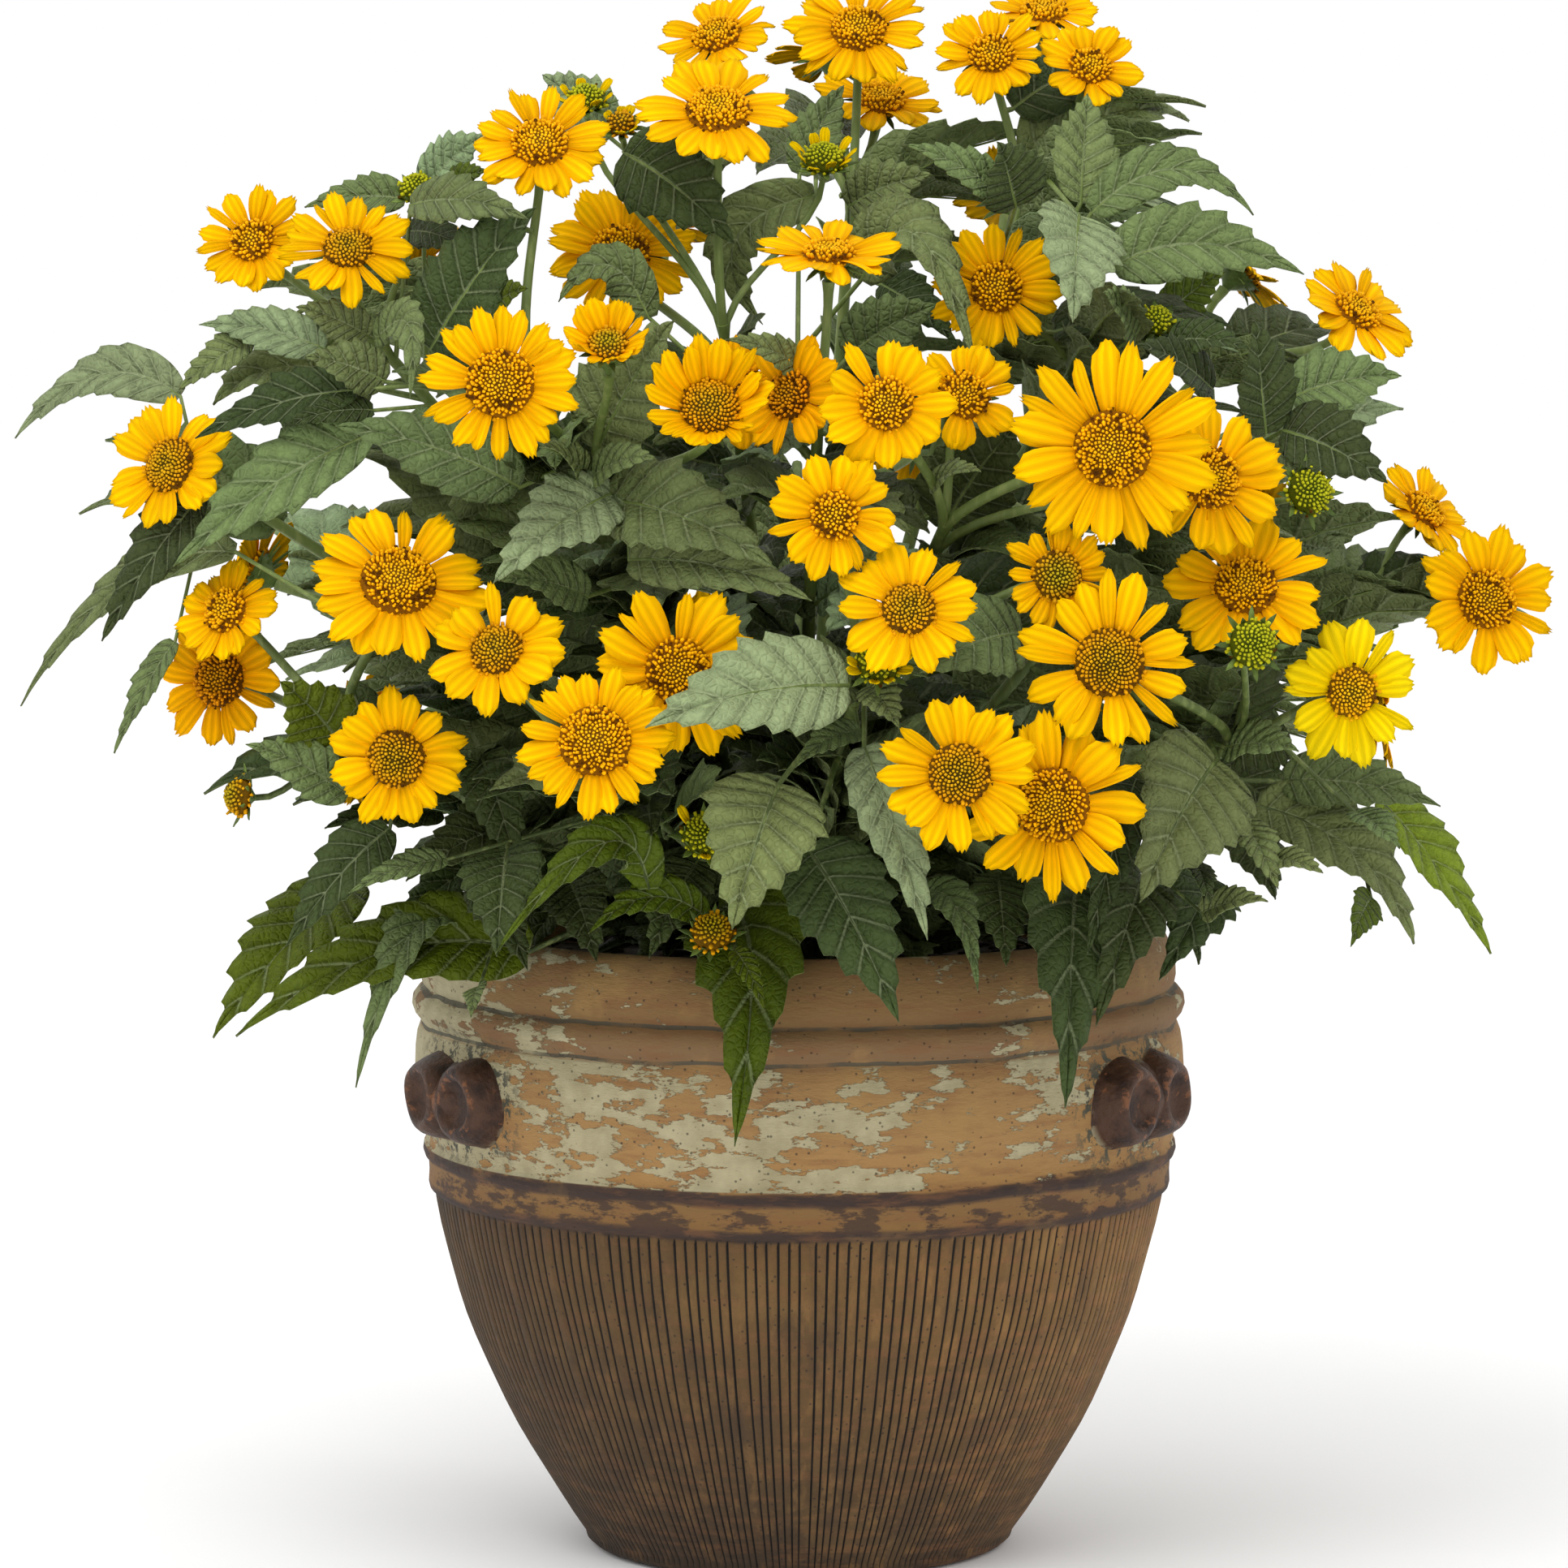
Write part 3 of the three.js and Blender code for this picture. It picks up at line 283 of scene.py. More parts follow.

# The belly is grimed in clouds, rubbed paler on the ridges, darkened near black by painted shade in
# the combed grooves, darker on its left by painted shade and paler on its right by painted light, and
# specked all over with coarse grit.
upright = node(clay, "Mapping", {"Vector": place, "Scale": (1, 1, 0.3)})
dust = node(clay, "TexNoise", {"Vector": upright, "Scale": 1 / (15 * MM), "Detail": 6, "Roughness": 0.7})
grime_share = node(clay, "MapRange", {0: dust, 1: 0.42, 2: 0.75, 4: on_belly}, **SMOOTH)
grime_share = node(clay, "Math", {0: grime_share, 1: 0.7}, operation="MULTIPLY")
grimed = node(clay, "Mix", {0: grime_share, 6: washed, 7: "#42301F"}, **BLEND)
rub = node(clay, "TexNoise", {"Vector": upright, "Scale": 1 / (8 * MM), "Detail": 5, "Roughness": 0.65})
rub_share = node(clay, "MapRange", {0: rub, 1: 0.5, 2: 0.7, 4: on_belly}, **SMOOTH)
rub_share = node(clay, "Math", {0: rub_share, 1: 0.34}, operation="MULTIPLY")
worn = node(clay, "Mix", {0: rub_share, 6: grimed, 7: "#97703F"}, **BLEND)
# Painted shade: the combed grooves are darkened near black, as deep as the comb cut them.
in_groove = node(clay, "Attribute", attribute_name="comb", out="Fac")
groove_shade_share = node(clay, "MapRange", {0: in_groove, 1: 0.04, 2: 0.4, 4: 0.97}, **SMOOTH)
combed = node(clay, "Mix", {0: groove_shade_share, 6: worn, 7: "#100C08"}, **BLEND)
# Painted shade on the belly's left and painted light on its right, across its width.
painted_side_light = node(clay, "MapRange", {0: along_x, 1: -150 * MM, 2: 150 * MM, 3: 0.4, 4: 1.48})
side_lit_belly = node(clay, "Mix", {0: on_belly, 6: combed, 7: painted_side_light}, blend_type="MULTIPLY", **BLEND)
by_lug = node(clay, "Attribute", attribute_name="by lug", out="Fac")
crust = node(clay, "TexNoise", {"Vector": place, "Scale": 1 / (6 * MM), "Detail": 6, "Roughness": 0.7})
crust_share = node(clay, "MapRange", {0: crust, 1: 0.5, 2: 0.56, 4: by_lug}, **SMOOTH)
crusted = node(clay, "Mix", {0: crust_share, 6: side_lit_belly, 7: "#47473A"}, **BLEND)
grit = node(clay, "TexVoronoi", {"Vector": place, "Scale": 1 / (4 * MM)})
grit_share = node(clay, "MapRange", {0: grit, 1: 0.09, 2: 0.18, 3: 0.7, 4: 0}, **SMOOTH)
specked = node(clay, "Mix", {0: grit_share, 6: crusted, 7: "#2A2018"}, **BLEND)
thrown = node(clay, "Mapping", {"Vector": place, "Scale": (1, 1, 3)})
grain = node(clay, "TexNoise", {"Vector": thrown, "Scale": 1 / (4 * MM), "Detail": 6, "Roughness": 0.65})
clay_height = node(clay, "Math", {0: lime, 1: 0.5, 2: grain}, operation="MULTIPLY_ADD")
finish_material(clay, specked, clay_height, 0.8)
pot = piece("pot_wall", mesh_of(pot_form, "pot_wall"), [clay], "terracotta", "pot")

# The drain holes, three in a ring round the middle of the floor. They are cut through it with a
# tube while the clay is leather-hard, and let the compost drain.
DRAIN_HOLES = 3
DRAIN_RADIUS = 7
DRAIN_RING = 30
for i in range(DRAIN_HOLES):
    turn = (i + 0.5) / DRAIN_HOLES * 2 * math.pi
    hole_place = (DRAIN_RING * math.cos(turn), DRAIN_RING * math.sin(turn), 0)
    plug_form = bmesh.new()
    bmesh.ops.create_cone(plug_form, cap_ends=True, segments=24, radius1=DRAIN_RADIUS,
                          radius2=DRAIN_RADIUS, depth=3 * FLOOR)
    bmesh.ops.translate(plug_form, verts=plug_form.verts, vec=hole_place)
    plug = bpy.data.objects.new("plug", mesh_of(plug_form, "plug"))
    bpy.context.scene.collection.objects.link(plug)
    drill = pot.modifiers.new("drain", "BOOLEAN")
    drill.object = plug
    drill.solver = "MANIFOLD"
    bpy.context.view_layer.update()
    drilled = bpy.data.meshes.new_from_object(pot.evaluated_get(bpy.context.evaluated_depsgraph_get()))
    pot.modifiers.remove(drill)
    pot.data = drilled
    bpy.data.objects.remove(plug)

# The lugs: pairs of clay knobs, pressed onto the collar over a low saddle of clay, with a thumb print
# in the face of each. They are the collar's clay under a thick dark slip, a little glossy, that has
# old lime round the foot. The upper halves of the knobs' rims are paler: rubbed to bare clay, and
# with a painted highlight.
KNOB_HALF_TURN = 5.2
KNOB_STEPS = 36
KNOB_FOOT = 159
KNOB_FACE = 170.4
SADDLE = [
    (0, 171.2), (4, 170.7), (8, 169.2), (12, 166.6), (15.4, 162.4), (18, 156.4), (19, 152.6), (19, 146),
    (0, 146),
]
KNOB = [
    (0, 167.2), (5, 167.4), (7.6, 168), (9.2, 169.3), (10.5, 170.9), (12, 171.5), (13.8, 170.9),
    (15.6, 168.6), (17.2, 164.6), (18.4, 159.6), (20, 155.4), (22, 152.6), (22, 146), (0, 146),
]
slip = new_material("dark slip over terracotta", 0.5, Specular_IOR_Level=0.3)
slip_place = node(slip, "TexCoord", out="Object")
slip_noise = {"Vector": slip_place, "Detail": 5, "Roughness": 0.6}
slip_cloud = node(slip, "TexNoise", {**slip_noise, "Scale": 1 / (12 * MM)})
slip_dark = node(slip, "MapRange", {0: slip_cloud, 1: 0.35, 2: 0.6}, **SMOOTH)
slip_colour = node(slip, "Mix", {0: slip_dark, 6: "#2C1A12", 7: "#4C3222"}, **BLEND)
slip_wear = node(slip, "TexNoise", {**slip_noise, "Scale": 1 / (5 * MM), "Roughness": 0.65})
slip_rim_wear_and_light = node(slip, "Attribute", attribute_name="edge", out="Fac")
slip_rim_wear_and_light = node(slip, "Math", {0: slip_rim_wear_and_light, 1: 0.1, 2: slip_wear}, operation="MULTIPLY_ADD")
slip_bare_and_lit = node(slip, "MapRange", {0: slip_rim_wear_and_light, 1: 0.6, 2: 0.7, 4: 0.6}, **SMOOTH)
slip_rubbed_and_lit = node(slip, "Mix", {0: slip_bare_and_lit, 6: slip_colour, 7: "#8C5834"}, **BLEND)
slip_foot = node(slip, "Attribute", attribute_name="foot", out="Fac")
slip_lime = node(slip, "MapRange", {0: slip_cloud, 1: 0.48, 2: 0.56, 4: slip_foot}, **SMOOTH)
slip_limed = node(slip, "Mix", {0: slip_lime, 6: slip_rubbed_and_lit, 7: "#A8A080"}, **BLEND)
slip_grain = node(slip, "TexNoise", {**slip_noise, "Scale": 1 / (3 * MM)})
finish_material(slip, slip_limed, slip_grain, 1)
lugs_form = bmesh.new()
for mark in ("foot", "edge"):
    lugs_form.verts.layers.float.new(mark)
for number, (turn, side) in enumerate([(t, s) for t in LUG_TURNS for s in (-1, 0, 1)]):
    knob_form = spun(KNOB if side else SADDLE, KNOB_STEPS)
    knob_foot = knob_form.verts.layers.float.new("foot")
    knob_rim_wear_and_light = knob_form.verts.layers.float.new("edge")
    for vert in knob_form.verts:
        x, y, out = vert.co
        dent = 0.5 * math.sin(x / 5 + out / 7 + number) + 0.5 * math.sin(y / 4 + out / 9 + 2 * number)
        vert[knob_foot] = 1 if out < KNOB_FOOT else 0
        # Paler rims: rubbed clay with a painted highlight, on the upper half of each rim only.
        vert[knob_rim_wear_and_light] = (1 if y > 0 else 0.5) if out > KNOB_FACE else 0
        vert.co = (x * (1 + 0.045 * dent), y * (0.98 + 0.04 * dent) + 0.5 * dent, out + 0.6 * dent)
    start = len(lugs_form.verts)
    lugs_form.from_mesh(mesh_of(knob_form, "knob", 1))
    lugs_form.verts.ensure_lookup_table()
    heading = math.radians(turn + side * KNOB_HALF_TURN - 90)
    for vert in lugs_form.verts[start:]:
        x, y, out = vert.co
        vert.co = (out * math.cos(heading) - x * math.sin(heading),
                   out * math.sin(heading) + x * math.cos(heading), LUG_HEIGHT + y)
piece("pot_lugs", mesh_of(lugs_form, "pot_lugs"), [slip], "terracotta", "pot")

# The potting soil: bark compost that fills the pot to a little under its lip, lumpy on top, with
# loose chips and crumbs of bark lying on it.
SOIL_STEPS = 96
SOIL_LUMPS = 136
SOIL_TOP = 238
SOIL_EDGE = [(0, 14.3), (73.7, 14.3), (116.7, 70), (138.7, 165), (137.3, SOIL_TOP)]
SOIL_RINGS = [
    (135, 238.6), (128, 239.5), (118, 240), (104, 240.6), (88, 241.2), (70, 241.6), (50, 242), (28, 242),
    (12, 242), (0, 242),
]
CHIPS = 420
CHIP_RADIUS = 2.2
CHIP_HEIGHT = 243
CHIP_SPREAD = 134
soil_form = spun(SOIL_EDGE + SOIL_RINGS, SOIL_STEPS)
for vert in soil_form.verts:
    x, y, z = vert.co
    if z > SOIL_TOP - 1 and math.hypot(x, y) < SOIL_LUMPS:
        vert.co.z += 1.6 * math.sin(x / 9) * math.sin(y / 11) + 1.3 * uneven(round(x), round(y))
for i in range(CHIPS):
    reach = CHIP_SPREAD * math.sqrt(0.5 + 0.5 * uneven(i, 11))
    around = math.pi * uneven(i, 12)
    size = CHIP_RADIUS + 1.3 * uneven(i, 13)
    made = bmesh.ops.create_icosphere(soil_form, subdivisions=1, radius=size)
    for vert in made["verts"]:
        x, y, z = vert.co * (1 + 0.35 * uneven(i, vert.index + 40))
        z = CHIP_HEIGHT + 0.6 * z + uneven(i, 14)
        vert.co = (reach * math.cos(around) + 1.7 * x, reach * math.sin(around) + y, z)

# Bark compost: matt and brown on the crumbs, with painted shade near black in the hollows.
compost = new_material("bark compost", 0.95)
compost_place = node(compost, "TexCoord", out="Object")
crumb_noise = {"Vector": compost_place, "Scale": 1 / (5 * MM), "Detail": 5, "Roughness": 0.7}
crumbs = node(compost, "TexNoise", crumb_noise)
crumbs_and_hollow_shade = [(0.3, "#15100B"), (0.7, "#4A3522"), (0.5, "#2B2017")]
compost_colour = node(compost, "ValToRGB", {0: crumbs}, ramp=crumbs_and_hollow_shade)
finish_material(compost, compost_colour, crumbs, 1.5)
piece("compost", mesh_of(soil_form, "compost"), [compost], "potting_soil", "soil")

# The plant's heads and buds, where they stand. A row gives a head's middle in the photograph and how
# far behind the pot's middle it lies, negative in front, or its own place; then how far it is turned
# to the right and faced upward, its radius, how far its rays are lifted, how many, the disc and look.
AIM_PIXEL = 966
POT_RADIUS = 160
SOIL_CLEAR = 9
RIM_CLEAR = 5
WALL_CLEAR = 4
WALL_INSIDE = 131
FRONT_HEADS = [
    ((881, 36), 40, -20, 50, 26, 6, 14, 0.42, "ripe"), ((1058, 28), 20, 0, 40, 30, 4, 17, 0.4, "ripe"),
    ((1086, 114), 70, 15, 60, 27, 8, 13, 0.42, "ripe"), ((1222, 62), -20, -5, 35, 23, 6, 14, 0.42, "ripe"),
    ((1286, 6), 60, 0, 65, 25, 6, 13, 0.42, "ripe"), ((1345, 77), -10, 10, 40, 22, 10, 12, 0.42, "ripe"),
    ((884, 126), -110, 0, 50, 32, 4, 15, 0.42, "ripe"),
    ((665, 169), -120, 0, 40, 28.5, 4, 18, 0.42, "ripe"),
    ((308, 293), -90, -15, 25, 23.5, 8, 15, 0.4, "ripe"),
    ((428, 299), -120, 0, 40, 27, 4, 18, 0.38, "young"), ((764, 305), -62, 0, 30, 31, 4, 19, 0.4, "ripe"),
    ((1021, 302), -162, 0, 70, 29, 8, 14, 0.38, "ripe"), ((1228, 351), -120, 0, 20, 27, 4, 16, 0.4, "ripe"),
    ((1678, 376), 20, 40, 45, 28, 6, 13, 0.38, "ripe"),
    ((615, 471), -215, -5, 10, 30.5, 4, 20, 0.45, "ripe"),
    ((749, 419), -200, 0, 45, 20, 40, 13, 0.42, "green"),
    ((875, 496), -220, 0, 30, 30, 42, 18, 0.42, "young"),
    ((905, 474), -158, 0, 25, 24, 6, 13, 0.42, "deep"),
    ((968, 484), -176, -30, 20, 24, 6, 13, 0.42, "deep"),
    ((1092, 496), -225, 0, 15, 26.5, 4, 12, 0.41, "ripe"),
    ((1191, 484), -180, 15, 25, 23, 6, 12, 0.44, "ripe"),
    ((1370, 553), -215, -5, 5, 42, 2, 19, 0.37, "ripe"),
    ((1499, 588), -180, 25, 10, 31, 4, 13, 0.4, "ripe"),
    ((203, 570), -110, -30, 20, 28, 4, 15, 0.42, "young"),
    ((1028, 635), -235, 0, 5, 25.5, 4, 13, 0.38, "ripe"),
    ((493, 709), -190, 10, 35, 36, 2, 18, 0.43, "ripe"),
    ((1305, 709), -210, 10, 5, 21.5, 4, 18, 0.47, "green"),
    ((1536, 716), -170, 0, 30, 32, 4, 14, 0.4, "ripe"), ((1761, 623), 10, 50, 40, 24, 6, 13, 0.42, "ripe"),
    ((1835, 736), -60, 15, 15, 30, 4, 15, 0.42, "ripe"),
    ((274, 749), -125, -30, 25, 22, 6, 14, 0.44, "ripe"),
    ((265, 836), -100, -25, 10, 28, 4, 14, 0.42, "deep"),
    ((610, 796), -215, -10, 30, 27, 4, 11, 0.4, "young"),
    ((838, 826), -225, 10, 10, 33.5, 4, 16, 0.4, "ripe"),
    ((1120, 746), -240, 0, 25, 28.5, 4, 14, 0.38, "young"),
    ((1368, 815), -225, 0, 10, 35, 2, 16, 0.4, "young"),
    ((1668, 854), -160, 10, 0, 29, 4, 14, 0.36, "lemon"),
    ((733, 910), -250, 0, 20, 30, 4, 19, 0.48, "ripe"),
    ((486, 936), -190, -10, 0, 27, 4, 15, 0.44, "young"),
    ((1182, 953), -250, 0, 10, 30.5, 4, 16, 0.41, "young"),
    ((1293, 993), -225, -15, 0, 36, 2, 16, 0.42, "ripe"),
]
BACK_HEADS = [
    ((-232, 60, 402), -110, 20, 29, 4, 14, "ripe"), ((-190, 172, 322), -140, 10, 31, 4, 15, "ripe"),
    ((-130, 208, 440), -150, 25, 30, 4, 14, "young"), ((-40, 246, 352), -172, 12, 33, 2, 16, "ripe"),
    ((55, 232, 452), 172, 25, 29, 4, 15, "ripe"), ((120, 222, 330), 150, 8, 32, 4, 16, "young"),
    ((205, 165, 420), 130, 22, 31, 4, 15, "ripe"), ((248, 85, 345), 100, 12, 29, 4, 14, "ripe"),
    ((-60, 175, 548), -165, 50, 28, 6, 14, "ripe"), ((95, 165, 560), 150, 48, 30, 6, 15, "ripe"),
    ((190, 90, 530), 110, 45, 27, 6, 13, "young"), ((-165, 105, 528), -125, 42, 28, 6, 14, "ripe"),
    ((15, 110, 622), 175, 62, 27, 6, 14, "ripe"), ((-112, 226, 276), -155, 0, 28, 4, 15, "young"),
    ((38, 236, 270), 172, 2, 29, 4, 15, "ripe"),
]
BUDS = [
    ((1615, 605), -140, 25, 15, 9.5), ((1545, 793), -206, 10, 10, 9.5), ((293, 980), -130, -60, 10, 8),
    ((1015, 194), -60, 0, 60, 9), ((722, 120), -60, 0, 60, 8), ((513, 231), -95, -10, 50, 7.5),
    ((1083, 814), -222, 0, 30, 9), ((878, 1147), -165, 0, 40, 8.5), ((869, 1028), -190, 10, 30, 9),
    ((1425, 394), -120, 10, 40, 7), ((766, 152), -75, 0, 45, 6),
]
RAY_ROOTS = 0.42
RAY_TWIST = 5
RAY_ROOT_THICKNESS = 0.9
BEHIND = 0.3
CUP_DEPTH = 6
BUD_CUP = 0.8
BACK_DISC = 0.41
MIDDLE_SUNK = 0.15
HEAD_SPARE = 1.04
HEAD_BEHIND = 7
HEAD_BEFORE = 4
CURVE_STEPS = 201


def spot(pixel, depth):
    """The place on the line of sight through a pixel of the photograph at a depth"""
    right = (pixel[0] - AIM_PIXEL) * PIXEL / EYE_DISTANCE
    up = (AIM_PIXEL - pixel[1]) * PIXEL / EYE_DISTANCE
    deep = math.cos(EYE_PITCH) + up * math.sin(EYE_PITCH)
    rise = up * math.cos(EYE_PITCH) - math.sin(EYE_PITCH)
    far = (depth + EYE_DISTANCE * math.cos(EYE_PITCH)) / deep
    height = AIM_HEIGHT + EYE_DISTANCE * math.sin(EYE_PITCH) + far * rise
    return np.array((AIM_SIDE + far * right, depth, height))


stem_tops = [
    spot((1050, 240), 25), spot((890, 400), -85), spot((655, 480), -135), spot((468, 425), -80),
    spot((285, 610), -70), spot((440, 905), -120), spot((735, 585), -140), spot((720, 930), -185),
    spot((1008, 520), -150), spot((1060, 840), -185), spot((1165, 645), -160), spot((1330, 445), -90),
    spot((1560, 535), -80), spot((1680, 740), 0), spot((1510, 925), -130), spot((1260, 250), -10),
    (-195, 110, 400), (-110, 165, 450), (0, 190, 440), (110, 170, 470), (190, 100, 400), (-130, 40, 500),
    (170, 20, 490),
]


def unit(direction):
    """The direction at a length of one"""
    return direction / np.linalg.norm(direction)


def standing(middle, turn, rise, radius, **more):
    """A head's own directions: out of its face, across it and up along it, and its middle"""
    a, b = math.radians(turn), math.radians(rise)
    axis = np.array((math.sin(a) * math.cos(b), -math.cos(a) * math.cos(b), math.sin(b)))
    across = unit(np.cross((0, 0, 1), axis))
    middle = np.array(middle, float) - MIDDLE_SUNK * radius * axis
    ways = {"axis": axis, "across": across, "along": np.cross(axis, across)}
    return {**ways, "middle": middle, "radius": radius, **more}


def open_head(middle, turn, rise, radius, lift, rays, disc, look):
    """A flower head, with how deep the cup behind it is"""
    up = math.radians(lift + RAY_TWIST)
    share = RAY_ROOTS / (RAY_ROOTS + (1 - RAY_ROOTS) * math.cos(up))
    deep = (share * (1 - RAY_ROOTS) * radius * math.sin(up) + RAY_ROOT_THICKNESS) / (1 - share)
    return standing(middle, turn, rise, radius, lift=lift, rays=rays, disc=disc * radius, look=look,
                    back=-deep - BEHIND - CUP_DEPTH)


heads = [open_head(spot(row[0], row[1]), *row[2:]) for row in FRONT_HEADS]
heads += [open_head(*row[:-1], BACK_DISC, row[-1]) for row in BACK_HEADS]
buds = [standing(spot(row[0], row[1]), *row[2:], back=-BUD_CUP * row[-1]) for row in BUDS]
head_middles = np.array([head["middle"] for head in heads])
head_axes = np.array([head["axis"] for head in heads])
head_radii = np.array([head["radius"] for head in heads])
head_cups = head_radii * np.maximum(0.2, [math.sin(math.radians(head["lift"])) for head in heads])


def in_heads(places, except_head=None):
    """Which places are within a flower head's rays or disc"""
    away = places[:, None] - head_middles
    high = (away * head_axes).sum(2)
    across = np.linalg.norm(away - high[..., None] * head_axes, axis=2)
    inside = (across < HEAD_SPARE * head_radii + 1) & (high > -HEAD_BEHIND) & (high < head_cups + HEAD_BEFORE)
    if except_head is not None:
        inside[:, except_head] = False
    return inside.any(1)


def in_pot(places):
    """Which places are within the soil or the pot's rim"""
    across = np.hypot(places[:, 0], places[:, 1])
    within = across < POT_RADIUS + WALL_CLEAR
    in_rim = (places[:, 2] < POT_RIM + RIM_CLEAR) & (across > WALL_INSIDE)
    return within & ((places[:, 2] < SOIL_TOP + SOIL_CLEAR) | in_rim)


def bezier(*ends):
    """A curve through the first and last of its points, as a function of shares from 0 to 1"""
    last = len(ends) - 1

    def line(shares):
        t = np.asarray(shares, float)[..., None]
        return sum(math.comb(last, k) * (1 - t) ** (last - k) * t ** k * ends[k] for k in range(last + 1))
    return line


def evenly(line, shares):
    """Places at shares of a curve's length"""
    t = np.linspace(0, 1, CURVE_STEPS)
    walked = np.append(0, np.cumsum(np.linalg.norm(np.diff(line(t), axis=0), axis=1)))
    return line(np.interp(np.asarray(shares) * walked[-1], walked, t))


# The stems and stalks. Each stem leaves the crown nearly upright and leans out to its top; each
# stalk leaves a stem at the nearest place from which it runs clear of the other heads. They are
# green, ridged and slightly rough, paler where they are young.
STEM_STEPS = 4
STALK_STEPS = 3
STRETCHES = 4
STALK_END = 0.75
STALK_PULL = 0.35
NEAREST_JOINTS = 40
STEM_RADII = (3.3, 2.3)
STALK_RADII = (2.1, 1.75)
BUD_STALK_RADII = (1.6, 1.3)
GREEN_BELOW = 260
YOUNG_ABOVE = 450


def main_stem(end):
    """A stem from the crown to its top"""
    end = np.array(end, float)
    reach = 6 + 0.09 * math.hypot(end[0], end[1])
    turn = math.atan2(end[1], end[0])
    start = np.array((reach * math.cos(turn), reach * math.sin(turn), SOIL_TOP - 6))
    rise = end[2] - start[2]
    lean, bend = start + 0.12 * (end - start), start + 0.72 * (end - start)
    lean[2], bend[2] = start[2] + 0.45 * rise, start[2] + 0.82 * rise
    return bezier(start, lean, bend, end)


def joints(line, steps, last):
    """Places that stalks and leaves can grow from, with the stem's direction there"""
    ends = evenly(line, np.arange(steps + 1) / steps)
    found = []
    for i in range(steps):
        for k in np.arange(0.5, STRETCHES):
            if (i + k / STRETCHES) / steps <= last:
                step = ends[i + 1] - ends[i]
                found.append((ends[i] + step * k / STRETCHES, unit(step)))
    return found


def stalk(head, lower, number=None):
    """The stalk to a head or bud, from a place that is near and lower"""
    end = head["middle"] + head["axis"] * head["back"]

    def cost(place):
        return np.linalg.norm(place[0] - end) + 1.5 * max(0, place[0][2] - end[2] + lower)

    lines = []
    for at, along in sorted(growth, key=cost)[:NEAREST_JOINTS]:
        span = np.linalg.norm(at - end)
        line = bezier(at, at + STALK_PULL * span * along, end - STALK_PULL * span * head["axis"], end)
        lines.append(line)
        near, last = line(np.arange(1, 9) / 12), line(np.arange(9, 12) / 12)
        blocked = in_heads(near).any() or in_heads(last, number).any()
        if not (blocked or in_pot(np.vstack((near, last))).any()):
            return line
    return lines[0]


stems = [main_stem(top) for top in stem_tops]
growth = [place for line in stems for place in joints(line, STEM_STEPS, 1)]
head_stalks = [stalk(head, lower=34, number=number) for number, head in enumerate(heads)]
bud_stalks = [stalk(bud, lower=20) for bud in buds]
growth += [place for line in head_stalks for place in joints(line, STALK_STEPS, STALK_END)]
growth_places = np.array([at for at, along in growth])


def strands(name, paths, sides, materials, slot, *nodes):
    """Round strands along paths, each with its radius at every point, millimetres"""
    curve = bpy.data.curves.new(name, "CURVE")
    curve.dimensions = "3D"
    curve.bevel_depth = MM
    curve.bevel_resolution = sides
    curve.use_fill_caps = True
    for path, radii in paths:
        spline = curve.splines.new("POLY")
        spline.points.add(len(path) - 1)
        spline.points.foreach_set("co", np.column_stack((path * MM, np.ones(len(path)))).ravel())
        spline.points.foreach_set("radius", radii)
    source = bpy.data.objects.new(name, curve)
    mesh = bpy.data.meshes.new_from_object(source)
    bpy.data.objects.remove(source)
    mesh.name = name
    return piece(name, mesh, materials, slot, *nodes)


stem_skin = new_material("ridged green stem", 0.55, 1.45)
stem_place = node(stem_skin, "TexCoord", out="Object")
stem_ridged = node(stem_skin, "Mapping", {"Vector": stem_place, "Scale": (1, 1, 0.15)})
stem_cloud = node(stem_skin, "TexNoise", {"Vector": stem_ridged, "Scale": 1 / (3 * MM), "Detail": 3})
stem_up = node(stem_skin, "SeparateXYZ", {0: stem_place}, out="Z")
young_range = {0: stem_up, 1: GREEN_BELOW * MM, 2: YOUNG_ABOVE * MM}
stem_young = node(stem_skin, "MapRange", young_range, **SMOOTH)
stem_green = node(stem_skin, "Mix", {0: stem_young, 6: "#3E4A24", 7: "#6B7D3C"}, **BLEND)
stem_pale = node(stem_skin, "MapRange", {0: stem_cloud, 1: 0.45, 2: 0.7, 4: 0.6}, **SMOOTH)
stem_streaked = node(stem_skin, "Mix", {0: stem_pale, 6: stem_green, 7: "#8C9A58"}, **BLEND)
finish_material(stem_skin, stem_streaked, stem_cloud, 0.4)
stem_paths = [(evenly(line, np.linspace(0, 1, 16)), np.linspace(*STEM_RADII, 16)) for line in stems]
for head, line in zip(heads, head_stalks):
    radii = np.linspace(*STALK_RADII, 14) * (0.8 + head["radius"] / 140)
    radii[-2:] *= (1.15, 1.5)
    stem_paths.append((evenly(line, np.linspace(0, 1, 14)), radii))
for line in bud_stalks:
    stem_paths.append((evenly(line, np.linspace(0, 1, 10)), np.linspace(*BUD_STALK_RADII, 10)))
strands("stems", stem_paths, 2, [stem_skin], "foliage", "leafy_stems")

